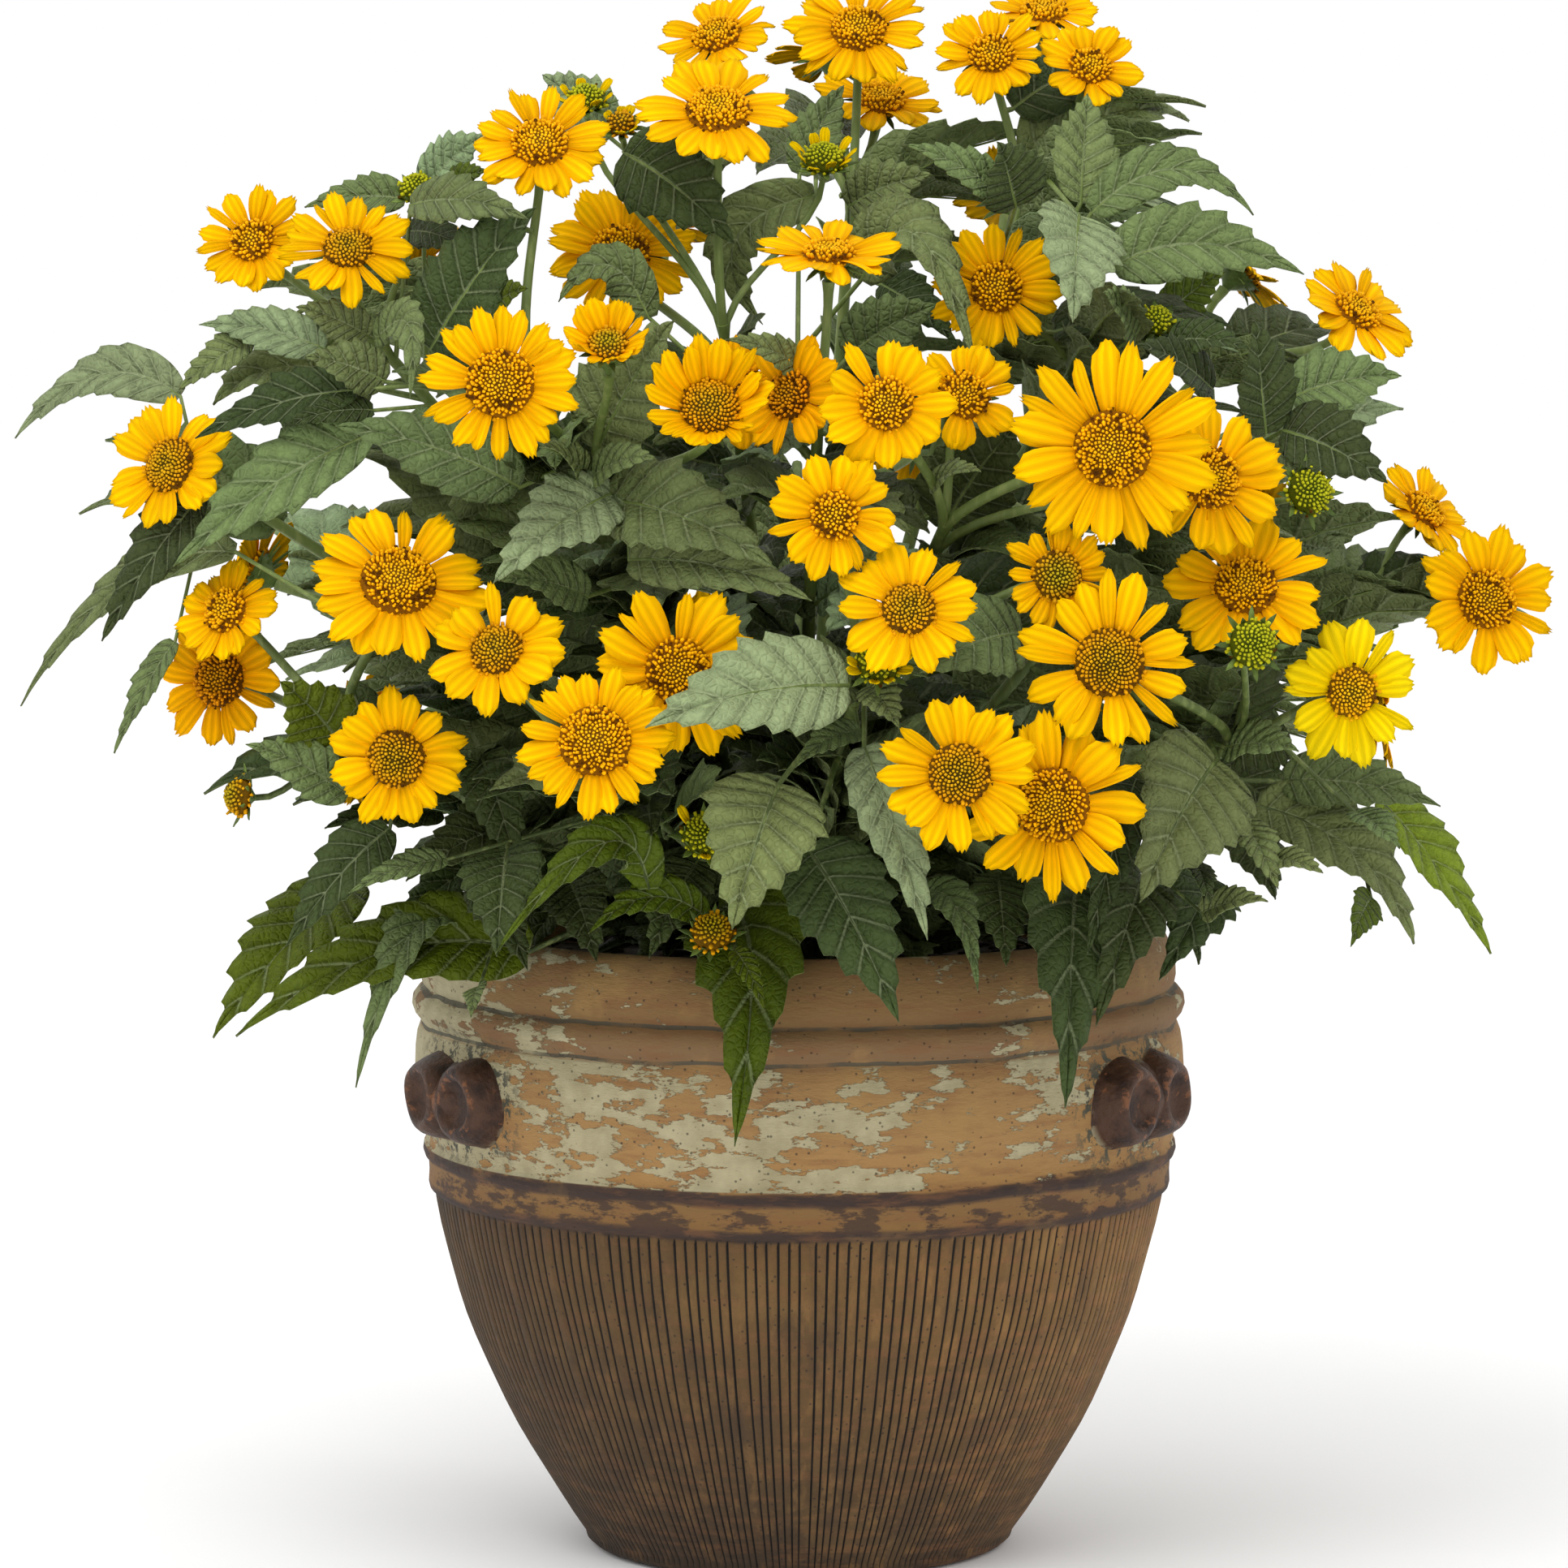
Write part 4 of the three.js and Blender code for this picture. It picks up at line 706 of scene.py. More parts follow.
# The leaves. Each is a toothed blade on a short stalk that grows from a stem: lance-shaped, folded
# up a little along its midrib and puckered between its veins. A row gives its base and tip in the
# photograph, its width and tone, where the tone paints light or shade into the leaf's green, and,
# where they matter, the top of its arch and its ends' depths.
SHELL = np.array((330, 258, 330))
SHELL_MIDDLE = 330
SHELL_PIXEL = 983
LEAF_FOLD = 0.22
VEIN_STEPS = (0, 0.28, 0.55, 0.8)
TEETH = (0, 0.6, 1, 0.35)
BROAD_VEINS = 8
MIDDLE_VEINS = 6
SMALL_VEINS = 4
COLUMN_PLACES = (0, 0.12, 0.45, 0.75, 1)
COLUMN_PUFF = (0, 0.55, 1, 0.8, 0.1)
PUFF = (0, 0.85, 1, 0.6)
# Of the tones, grey is the leaf green with painted light, for leaves out in the open; dark is it with painted
# shade, for leaves low down and deep in the plant; and mid lies between.
TONES = {"grey": "#82946A", "mid": "#6A7848", "dark": "#3C4824", "green": "#4C5A0C", "lime": "#6E8020"}
PALE_UNDERSIDE = "#8E9C66"
VIEWER = np.array((0, -1, 0))
FRONT_LEAVES = [
    ((222, 488), (18, 540), 20, "grey", (120, 462)), ((475, 470), (375, 440), 19, "mid"),
    ((640, 600), (413, 525), 29, "mid"), ((455, 535), (213, 698), 30, "mid"),
    ((250, 610), (125, 790), 24, "dark"), ((440, 480), (240, 540), 20, "dark"),
    ((520, 235), (600, 165), 19, "grey"), ((530, 430), (660, 255), 36, "dark"),
    ((752, 170), (668, 92), 24, "grey", None, (-45, -30)),
    ((768, 188), (905, 300), 34, "dark", None, (-82, -98)),
    ((1005, 240), (940, 400), 24, "mid", (905, 300), (-50, -62)),
    ((1045, 255), (1148, 215), 21, "mid", None, (-35, -50)), ((1252, 255), (1230, 175), 28, "dark"),
    ((1060, 345), (1200, 445), 27, "mid", (1130, 290), (-95, -150)),
    ((800, 392), (688, 372), 18, "mid", (747, 326), (-120, -130)), ((735, 555), (830, 395), 36, "mid"),
    ((1010, 510), (948, 568), 19, "grey", None, (-150, -186)), ((760, 605), (608, 718), 30, "grey"),
    ((745, 615), (955, 700), 33, "mid"), ((1165, 645), (1258, 520), 36, "dark"),
    ((1332, 250), (1340, 115), 26, "mid"), ((1330, 265), (1322, 397), 33, "grey"),
    ((1370, 330), (1607, 338), 28, "mid", (1480, 300)), ((1345, 262), (1545, 265), 19, "mid", (1450, 208)),
    ((1560, 535), (1545, 395), 27, "dark"), ((1590, 490), (1727, 463), 25, "mid"),
    ((1580, 530), (1710, 595), 30, "dark"), ((290, 680), (25, 870), 18, "mid", (150, 720)),
    ((430, 930), (345, 840), 29, "green"), ((430, 980), (303, 917), 19, "mid"),
    ((480, 1020), (353, 1165), 24, "dark"), ((440, 1090), (262, 1278), 36, "green", None, (-70, -120)),
    ((652, 1172), (290, 1276), 36, "green", (480, 1172), (-118, -150)),
    ((625, 1045), (612, 1178), 30, "dark", None, (-160, -215)),
    ((800, 1095), (610, 1175), 19, "green", (740, 1040), (-175, -215)),
    ((560, 1140), (438, 1340), 20, "mid", (500, 1160), (-110, -165)),
    ((1045, 845), (795, 896), 36, "grey", None, (-222, -258)),
    ((960, 965), (902, 1145), 42, "mid", None, (-215, -250)),
    ((995, 1045), (1108, 1260), 36, "dark", None, (-185, -222)),
    ((1065, 920), (1143, 1158), 25, "grey", None, (-205, -246)),
    ((885, 1120), (905, 1412), 46, "green", (925, 1180), (-98, -214)), ((725, 735), (615, 715), 19, "mid"),
    ((775, 690), (1000, 740), 23, "mid"), ((1260, 780), (1130, 830), 30, "mid", None, (-200, -236)),
    ((1500, 935), (1405, 1112), 46, "mid", None, (-150, -205)),
    ((1505, 912), (1560, 800), 34, "dark", None, (-125, -165)),
    ((1510, 920), (1600, 925), 19, "mid", None, (-140, -170)),
    ((1580, 962), (1775, 993), 25, "mid", None, (-90, -110)),
    ((1548, 992), (1743, 1163), 33, "mid", (1670, 1050), (-95, -120)),
    ((1700, 985), (1838, 1175), 27, "lime", None, (-40, -50)),
    ((1325, 1090), (1313, 1365), 46, "dark", (1322, 1150), (-120, -192)),
    ((1405, 1085), (1350, 1265), 32, "dark", (1395, 1120), (-125, -174)),
    ((310, 420), (220, 480), 15, "mid"), ((400, 430), (245, 400), 17, "grey"),
    ((455, 415), (365, 378), 15, "mid"), ((462, 420), (505, 490), 16, "mid", (503, 400)),
    ((460, 505), (350, 525), 11, "dark"), ((500, 245), (375, 255), 16, "mid"),
    ((545, 240), (600, 210), 11, "green"), ((505, 252), (650, 270), 17, "mid"),
    ((500, 285), (590, 320), 13, "dark"), ((590, 395), (650, 355), 15, "green"),
    ((830, 215), (935, 185), 18, "mid", None, (-45, -60)),
    ((985, 215), (1040, 105), 18, "mid", None, (-15, 5)), ((1250, 250), (1115, 178), 15, "mid"),
    ((1003, 465), (895, 418), 12, "mid"), ((725, 590), (808, 565), 14, "mid"),
    ((725, 585), (665, 550), 11, "mid"), ((1145, 600), (1208, 580), 10, "mid"),
    ((1430, 395), (1510, 335), 16, "green", None, (-92, -78)), ((1400, 415), (1360, 360), 17, "mid"),
    ((1440, 420), (1540, 430), 16, "dark"), ((1495, 480), (1400, 425), 18, "dark"),
    ((1550, 545), (1620, 605), 15, "mid", None, (-92, -104)), ((215, 790), (140, 928), 12, "mid"),
    ((550, 1058), (430, 1100), 10, "mid"), ((590, 1215), (580, 1253), 8, "mid"),
    ((1070, 845), (1108, 897), 14, "mid", None, (-225, -246)), ((905, 1170), (942, 1245), 8, "green"),
    ((870, 1130), (725, 1150), 14, "green", (800, 1105), (-150, -190)),
    ((1060, 900), (980, 945), 11, "mid"), ((1060, 850), (1030, 885), 8, "mid"),
    ((1140, 1100), (1205, 1220), 15, "mid", (1180, 1120), (-150, -205)),
    ((1670, 1000), (1725, 1045), 15, "mid"), ((1690, 1105), (1665, 1166), 13, "green"),
    ((1530, 1010), (1575, 1095), 15, "mid", None, (-140, -165)), ((1470, 1060), (1492, 1115), 10, "dark"),
    ((1480, 1125), (1562, 1110), 12, "mid"), ((1560, 1060), (1630, 1075), 12, "mid"),
    ((1400, 960), (1340, 1175), 18, "dark", None, (-150, -200)),
    ((1485, 1080), (1428, 1208), 26, "dark", (1475, 1120), (-105, -150)),
    ((640, 1015), (500, 1085), 24, "dark", None, (-120, -160)),
    ((590, 925), (640, 1080), 22, "dark", None, (-120, -160)),
    ((590, 1075), (650, 1195), 20, "dark", None, (-120, -165)),
    ((700, 1080), (735, 1185), 24, "dark", None, (-110, -150)),
    ((620, 1050), (480, 1150), 22, "dark", None, (-60, -95)),
    ((660, 1090), (530, 1200), 24, "dark", None, (-60, -95)),
    ((545, 1000), (400, 1020), 18, "dark", None, (-80, -110)),
    ((860, 1060), (800, 1180), 22, "dark", None, (-130, -165)),
    ((1230, 1080), (1240, 1190), 22, "dark", None, (-130, -165)),
    ((720, 1080), (640, 1185), 26, "dark", None, (-70, -95)),
    ((1045, 440), (1155, 375), 26, "mid", None, (-40, -50)),
    ((1085, 350), (1180, 425), 22, "dark", None, (-30, -40)),
    ((1490, 940), (1610, 1030), 32, "dark", None, (-60, -72)),
    ((1515, 1000), (1572, 1108), 28, "dark", None, (-62, -84)),
    ((1580, 890), (1500, 960), 26, "dark", None, (-80, -90)),
    ((1440, 1050), (1478, 1188), 28, "dark", None, (-62, -96)),
    ((462, 478), (262, 498), 34, "mid", (350, 452), (-70, -92)),
]
SIDE_PAIRS = 38
FILL_PAIRS = 420
INNER_PAIRS = 370
LOW_PAIRS = 70
BROAD_LEAF = 24
NEAREST_PLACES = 90
LEAF_SHIFTS = (0, 7, -7, 14, -14, 21, -21, 28, 36, 44)
DRAW_STEP = 16807
DRAW_SPAN = 2147483647
LEAF_STALK = 5
LEAF_THICKNESS = 0.45
UNDER_SHARE = 0.5
EYE = np.array(camera.location) / MM


def sheet(name, columns, rows, rise=1.0):
    """A thin closed sheet in two layers, with how far along it lies in its UV map, up to rise"""
    form = bmesh.new()
    uv = form.loops.layers.uv.new("UVMap")
    bmesh.ops.create_grid(form, x_segments=columns, y_segments=rows, size=1, calc_uvs=True)
    for face in form.faces:
        for loop in face.loops:
            loop[uv].uv.y *= rise
    bmesh.ops.solidify(form, geom=form.faces[:], thickness=1)
    return mesh_of(form, name, 1)


def corners_of(mesh):
    """A mesh's corners, one row of three coordinates each"""
    places = np.empty(3 * len(mesh.vertices), np.float32)
    mesh.vertices.foreach_get("co", places)
    return places.reshape(-1, 3).astype(float)


def sheet_places(source):
    """A sheet's corners: across it from -1 to 1, along it from 0 to 1, and which lie underneath"""
    grid = corners_of(source)
    return grid[:, 0], (grid[:, 1] + 1) / 2, grid[:, 2] < -0.5


def gathered(name, parts):
    """One mesh from many copies of small forms, each with its own corners and colours"""
    sources, places, colours = zip(*parts)
    form = bmesh.new()
    for source in sources:
        form.from_mesh(source)
    mesh = mesh_of(form, name, 1)
    mesh.vertices.foreach_set("co", (np.concatenate(places) * MM).astype(np.float32).ravel())
    tint = mesh.attributes.new("tint", "FLOAT_COLOR", "POINT")
    tint.data.foreach_set("color", np.concatenate(colours).astype(np.float32).ravel())
    return mesh


def outness(place):
    """How far out a place is, where 1 is the plant's rounded outline"""
    return np.linalg.norm((place - (0, 0, SHELL_MIDDLE)) / SHELL)


def leaf_frames(leaf, shares):
    """Places on a leaf's midrib, with its directions there: out of its face and to its left"""
    t = np.asarray(shares, float)[..., None]
    at = bezier(leaf["base"], leaf["bend"], leaf["tip"])(shares)
    forward = 2 * (1 - t) * (leaf["bend"] - leaf["base"]) + 2 * t * (leaf["tip"] - leaf["bend"])
    forward /= np.linalg.norm(forward, axis=-1, keepdims=True)
    sky = at * (1, 1, 0)
    sky = sky / np.linalg.norm(sky, axis=-1, keepdims=True) + leaf["toward"]
    sky[..., 2] = 0.8
    face = sky - (sky * forward).sum(-1, keepdims=True) * forward
    face /= np.linalg.norm(face, axis=-1, keepdims=True)
    return at, face, np.cross(face, forward)


def straight_clear(start, end):
    """Whether a straight stalk runs clear of the heads"""
    return not in_heads(start + (end - start) * np.array([[0.2], [0.4], [0.6], [0.8], [1]])).any()


def leaf_clear(leaf):
    """Whether a leaf and its stalk are clear of the heads, and the leaf of pot and soil"""
    if not straight_clear(leaf["root"], leaf["base"]):
        return False
    shares = np.arange(1, 11) / 10
    at, face, left = leaf_frames(leaf, shares)
    half = (0.5 * leaf["width"] * np.minimum(1, 1.6 * (1 - shares) + 0.05))[:, None]
    places = np.vstack([at + side * half * left + abs(side) * LEAF_FOLD * half * face for side in (-1, 0, 1)])
    return not (in_heads(places).any() or in_pot(places).any())


def covers(places, middles, radii):
    """Whether any place stands before one of the middles and within its radius, as the eye sees it"""
    ways = places - EYE
    far_off = np.linalg.norm(ways, axis=1, keepdims=True)
    beyond = (ways / far_off) @ (middles - EYE).T
    missed = np.linalg.norm((middles - EYE) - beyond[..., None] * (ways / far_off)[:, None], axis=2)
    return ((missed < radii) & (beyond > far_off)).any()


def hides_another(leaf):
    """Whether a leaf of the inside stands before a head or a broad leaf of the front"""
    places = np.vstack([leaf_frames(leaf, np.linspace(0, 1, 6))[0], leaf["root"][None]])
    return (covers(places, head_middles[facing], 0.3 * leaf["width"] + 0.85 * head_radii[facing])
            or covers(places, shown_middles, 0.2 * leaf["width"] + shown_radii))


def shell_depth(pixel):
    """The depth at which a pixel's line of sight meets the front of the plant's rounded outline"""
    x = (pixel[0] - SHELL_PIXEL) * PIXEL / SHELL[0]
    z = (AIM_HEIGHT + (AIM_PIXEL - pixel[1]) * PIXEL - SHELL_MIDDLE) / SHELL[2]
    return -SHELL[1] * math.sqrt(max(0.04, 1 - x * x - z * z))


def front_leaf(shift, near, far, width, tone, over=None, depths=None):
    """A leaf from its base and tip in the photograph, grown from the stem that lies behind its base"""
    first, last = depths or (0.7 * shell_depth(near), 0.9 * shell_depth(far))
    base, tip = spot(near, first + shift), spot(far, last + shift)
    top = 0.5 * (base + tip)
    top[2] += 0.06 * np.linalg.norm(tip - base)
    if over:
        top = spot(over, 0.5 * (first + last) + shift)
    bend = 2 * top - 0.5 * base - 0.5 * tip
    away = base - growth_places
    far_off = np.linalg.norm(away, axis=1)
    inward = np.maximum(0, np.abs(growth_places[:, 0]) - abs(base[0]))
    order = np.argsort(1.7 * far_off - away @ unit(bend - base) + 3 * inward, kind="stable")
    nearest = growth_places[order[:NEAREST_PLACES]]

    def open_way(at):
        way = at + (base - at) * np.linspace(0, 1, 8)[:, None]
        return not covers(way, head_middles[facing], 0.85 * head_radii[facing] - 2)

    root = next((at for at in nearest if straight_clear(at, base) and open_way(at)), nearest[0])
    return {"root": root, "base": base, "bend": bend, "tip": tip, "width": width,
            "toward": VIEWER, "tone": tone}


def placed_leaf(row):
    """The row's leaf, moved in depth to where it is clear, if one of the shifts makes it so"""
    options = [front_leaf(shift, *row) for shift in LEAF_SHIFTS]
    return next((leaf for leaf in options if leaf_clear(leaf)), options[0])


def seeded_leaves(seed, pairs, places, reaches, edge, apart, tones, nearest_y=-400, behind=True):
    """Opposite pairs of leaves on the stems, clear of heads, pot and soil, and behind what the eye sees"""
    def draw(low, high):
        nonlocal seed
        seed = seed * DRAW_STEP % DRAW_SPAN
        return low + (high - low) * seed / DRAW_SPAN

    grown = []
    for _ in range(pairs):
        at, along = places[math.floor(draw(0, len(places)))]
        out = unit(at * (1, 1, 0))
        across = unit(np.cross(along, out))
        for side in (-1, 1):
            reach = draw(*reaches)
            way = side * draw(0.5, 1) * across + out
            way[2] = draw(-0.2, 0.6)
            way = unit(way)
            base, tip = at + LEAF_STALK * way, at + reach * way
            bend = 0.5 * (base + tip) + (0, 0, 0.18 * reach)
            leaf = {"root": at, "base": base, "bend": bend, "tip": tip, "width": 0.4 * reach,
                    "toward": np.zeros(3), "tone": tones[len(grown) % len(tones)]}
            free = all(np.linalg.norm(other["tip"] - tip) > apart for other in grown)
            if free and outness(tip) < edge and tip[1] > nearest_y and leaf_clear(leaf):
                if not (behind and hides_another(leaf)):
                    grown.append(leaf)
    return grown


facing = head_axes[:, 1] < 0
front_leaves = [placed_leaf(row) for row in FRONT_LEAVES]
broad_ones = [leaf for leaf in front_leaves if leaf["width"] >= BROAD_LEAF]
shown_middles = np.vstack([leaf_frames(leaf, (0.2, 0.45, 0.7))[0] for leaf in broad_ones])
shown_radii = np.repeat([0.3 * leaf["width"] for leaf in broad_ones], 3)
high_places = [place for place in growth if place[0][1] > -50 and place[0][2] > POT_RIM]
side_places = [place for place in high_places if 0.3 < outness(place[0]) < 0.86]
side_leaves = seeded_leaves(4211, SIDE_PAIRS, side_places, (62, 92), edge=1, apart=32, nearest_y=-90,
                            tones=("mid", "dark", "mid", "grey"), behind=False)
fill_places = [place for place in growth if POT_RIM < place[0][2] < 575 and 0.25 < outness(place[0]) < 0.88]
fill_leaves = seeded_leaves(3019, FILL_PAIRS, fill_places, (66, 100), edge=0.97, apart=24,
                            tones=("dark", "mid", "dark", "mid", "grey"))
# The inner and low leaves take mostly the dark tone: painted shade for their place deep in the plant.
inner_places = [place for place in growth if place[0][2] > POT_RIM - 5 and outness(place[0]) < 0.8]
inner_leaves = seeded_leaves(977, INNER_PAIRS, inner_places, (40, 78), edge=0.88, apart=13,
                             tones=("dark", "dark", "mid"))
low_places = [place for place in growth if 245 < place[0][2] < 310]
inner_leaves += seeded_leaves(5501, LOW_PAIRS, low_places, (50, 112), edge=0.9, apart=12,
                              tones=("dark", "dark", "mid"))
broad_sheet = sheet("broad leaf", 8, 4 * BROAD_VEINS, BROAD_VEINS)
middle_sheet = sheet("middle leaf", 6, 4 * MIDDLE_VEINS, MIDDLE_VEINS)
small_sheet = sheet("small leaf", 4, 4 * SMALL_VEINS, SMALL_VEINS)


def leaf_corners(source, leaf, number, columns, veins):
    """The sheet's corners laid out as one leaf"""
    across, along, under = sheet_places(source)
    spots = np.concatenate((-np.array(columns[:0:-1]), columns))
    u = np.interp(across, np.linspace(-1, 1, len(spots)), spots)
    row = np.rint(along * 4 * veins).astype(int)
    part = row % 4
    q = (row // 4 + np.array(VEIN_STEPS)[part]) / veins
    width = leaf["width"]
    coarse = 1 + 0.4 * np.array([uneven(number, tooth) for tooth in range(veins + 1)])[row // 4]
    toothed = coarse * np.array(TEETH)[part] * np.clip((q - 0.14) / 0.2, 0, 1)
    toothed = toothed * np.clip((1.04 - q) / 0.2, 0, 1) * np.abs(u) ** 5
    half = width / 2 * (q + 0.02) ** 0.6 * np.maximum(1 - q, 0) ** 1.4 / 0.2947 + 0.6 * (1 - q) + 0.15 * q
    lateral = half * u + np.sign(u) * (0.14 * half + 0.014 * width) * toothed
    ahead = np.clip(q - 0.7 * q * (1 - q) * (1 - np.abs(u)) + 0.25 / veins * toothed, 0, 1)
    puckered = np.interp(np.abs(u), COLUMN_PLACES, COLUMN_PUFF) * np.array(PUFF)[part]
    puckered = puckered * np.sin(np.pi * q) ** 0.4
    waves = np.where(u < 0, uneven(number, 1), uneven(number, 2))
    wave = 0.05 * width * u * u * np.sin(2 * np.pi * (2 + 0.5 * waves) * q + 3 * waves) * np.sin(np.pi * q)
    rise = LEAF_FOLD * np.abs(lateral) + 0.065 * width * puckered + wave - 0.02 * width * (np.abs(u) < 0.05)
    rise = rise - (LEAF_THICKNESS + 0.1 * uneven(number, 3)) * under
    turn = math.radians(16 * uneven(number, 4)) * q
    at, face, left = leaf_frames(leaf, ahead)
    shift = lateral * np.cos(turn) - rise * np.sin(turn)
    lift = lateral * np.sin(turn) + rise * np.cos(turn)
    return at + shift[:, None] * left + lift[:, None] * face


def leaf_colours(source, tone, number):
    """A leaf's green with the light or shade its tone paints in, in its upper layer, and a paler one in the
    layer underneath
    """
    under = sheet_places(source)[2][:, None] * UNDER_SHARE
    top = np.array(linear(TONES[tone])) * (1 + 0.16 * uneven(number, 5))
    top = top * (1 + 0.08 * uneven(number, 6), 1, 1, 1)
    colours = top * (1 - under) + np.array(linear(PALE_UNDERSIDE)) * under
    colours[:, 3] = 1
    return colours


# Living leaf: satin, grey-green and a little mottled, with a fine net of pale veins sunk in it, a
# pale midrib and side veins, and a paler side underneath. Painted shade darkens the blade along its
# side veins and painted light brightens the puckers between them.
leaf_skin = new_material("toothed leaf", 0.5, 1.42, Specular_IOR_Level=0.2)
leaf_tint = node(leaf_skin, "Attribute", attribute_name="tint", out="Color")
leaf_map = node(leaf_skin, "UVMap", uv_map="UVMap")
leaf_u, leaf_v = [node(leaf_skin, "SeparateXYZ", {0: leaf_map}, out=axis) for axis in ("X", "Y")]
vein_near = node(leaf_skin, "Math", {0: leaf_v, 1: 0.5}, operation="PINGPONG")
side_vein = node(leaf_skin, "MapRange", {0: vein_near, 1: 0.02, 2: 0.1, 3: 1, 4: 0}, **SMOOTH)
rib_near = node(leaf_skin, "Math", {0: leaf_u, 1: 0.5}, operation="SUBTRACT")
rib_near = node(leaf_skin, "Math", {0: rib_near}, operation="ABSOLUTE")
midrib = node(leaf_skin, "MapRange", {0: rib_near, 1: 0.02, 2: 0.07, 3: 1, 4: 0}, **SMOOTH)
to_edge = node(leaf_skin, "MapRange", {0: rib_near, 1: 0.05, 2: 0.5, 3: 0.9, 4: 0.25})
side_vein = node(leaf_skin, "Math", {0: side_vein, 1: to_edge}, operation="MULTIPLY")
veins = node(leaf_skin, "Math", {0: side_vein, 1: midrib}, operation="MAXIMUM")
leaf_place = node(leaf_skin, "TexCoord", out="Object")
leaf_cloud = node(leaf_skin, "TexNoise", {"Vector": leaf_place, "Scale": 1 / (9 * MM), "Detail": 4})
net_cells = {"Vector": leaf_place, "Scale": 1 / (3 * MM)}
leaf_net = node(leaf_skin, "TexVoronoi", net_cells, feature="DISTANCE_TO_EDGE")
leaf_mottle_and_shade = node(leaf_skin, "MapRange", {0: leaf_cloud, 1: 0.3, 2: 0.7, 3: 0.72, 4: 1.2})
leaf_mottle_and_shade = node(leaf_skin, "MapRange", {0: leaf_net, 1: 0, 2: 0.12, 3: 1.12, 4: leaf_mottle_and_shade}, **SMOOTH)
# Painted shade along the side veins, where the puckered blade dips, and painted light on the puffs between
# them.
leaf_pucker_shade = node(leaf_skin, "MapRange", {0: vein_near, 1: 0.05, 2: 0.32, 3: 0.84, 4: 1.07}, **SMOOTH)
leaf_mottle_and_shade = node(leaf_skin, "Math", {0: leaf_mottle_and_shade, 1: leaf_pucker_shade}, operation="MULTIPLY")
leaf_mottled_and_shaded = node(leaf_skin, "Mix", {0: 1, 6: leaf_tint, 7: leaf_mottle_and_shade}, blend_type="MULTIPLY", **BLEND)
vein_colour = node(leaf_skin, "Mix", {0: 0.36, 6: leaf_tint, 7: "#C4D0A0"}, **BLEND)
vein_share = node(leaf_skin, "Math", {0: veins, 1: 0.9}, operation="MULTIPLY")
leaf_veined = node(leaf_skin, "Mix", {0: vein_share, 6: leaf_mottled_and_shaded, 7: vein_colour}, **BLEND)
leaf_relief = node(leaf_skin, "MapRange", {0: leaf_net, 1: 0, 2: 0.25})
leaf_height = node(leaf_skin, "Math", {0: veins, 1: -0.8, 2: leaf_relief}, operation="MULTIPLY_ADD")
leaf_puff = node(leaf_skin, "MapRange", {0: vein_near, 1: 0, 2: 0.32, 4: 1.8}, **SMOOTH)
leaf_height = node(leaf_skin, "Math", {0: leaf_height, 1: leaf_puff})
finish_material(leaf_skin, leaf_veined, leaf_height, 0.5)

half_fill = len(fill_leaves) // 2
middle_columns = (0, 0.15, 0.6, 1)
small_columns = (0, 0.5, 1)
leaf_stalks = []
for name, leaves, source, columns, veins_each in (
    ("leaves_front", front_leaves, broad_sheet, COLUMN_PLACES, BROAD_VEINS),
    ("leaves_side", side_leaves, middle_sheet, middle_columns, MIDDLE_VEINS),
    ("leaves_between_a", fill_leaves[:half_fill], middle_sheet, middle_columns, MIDDLE_VEINS),
    ("leaves_between_b", fill_leaves[half_fill:], middle_sheet, middle_columns, MIDDLE_VEINS),
    ("leaves_inner", inner_leaves, small_sheet, small_columns, SMALL_VEINS),
):
    parts = []
    for number, leaf in enumerate(leaves):
        parts.append((source, leaf_corners(source, leaf, number, columns, veins_each),
                      leaf_colours(source, leaf["tone"], number)))
        at, face, left = leaf_frames(leaf, (0.2, 0.5, 0.85))
        leaf_stalks.append((np.vstack((leaf["root"], leaf["base"] - 0.5 * face[0], at - 0.75 * face)),
                            np.linspace(1.25, 0.25, 5) * (0.6 + leaf["width"] / 60)))
    piece(name, gathered(name, parts), [leaf_skin], "foliage", "leafy_stems")
strands("leaf_stalks", leaf_stalks, 0, [stem_skin], "foliage", "leafy_stems")

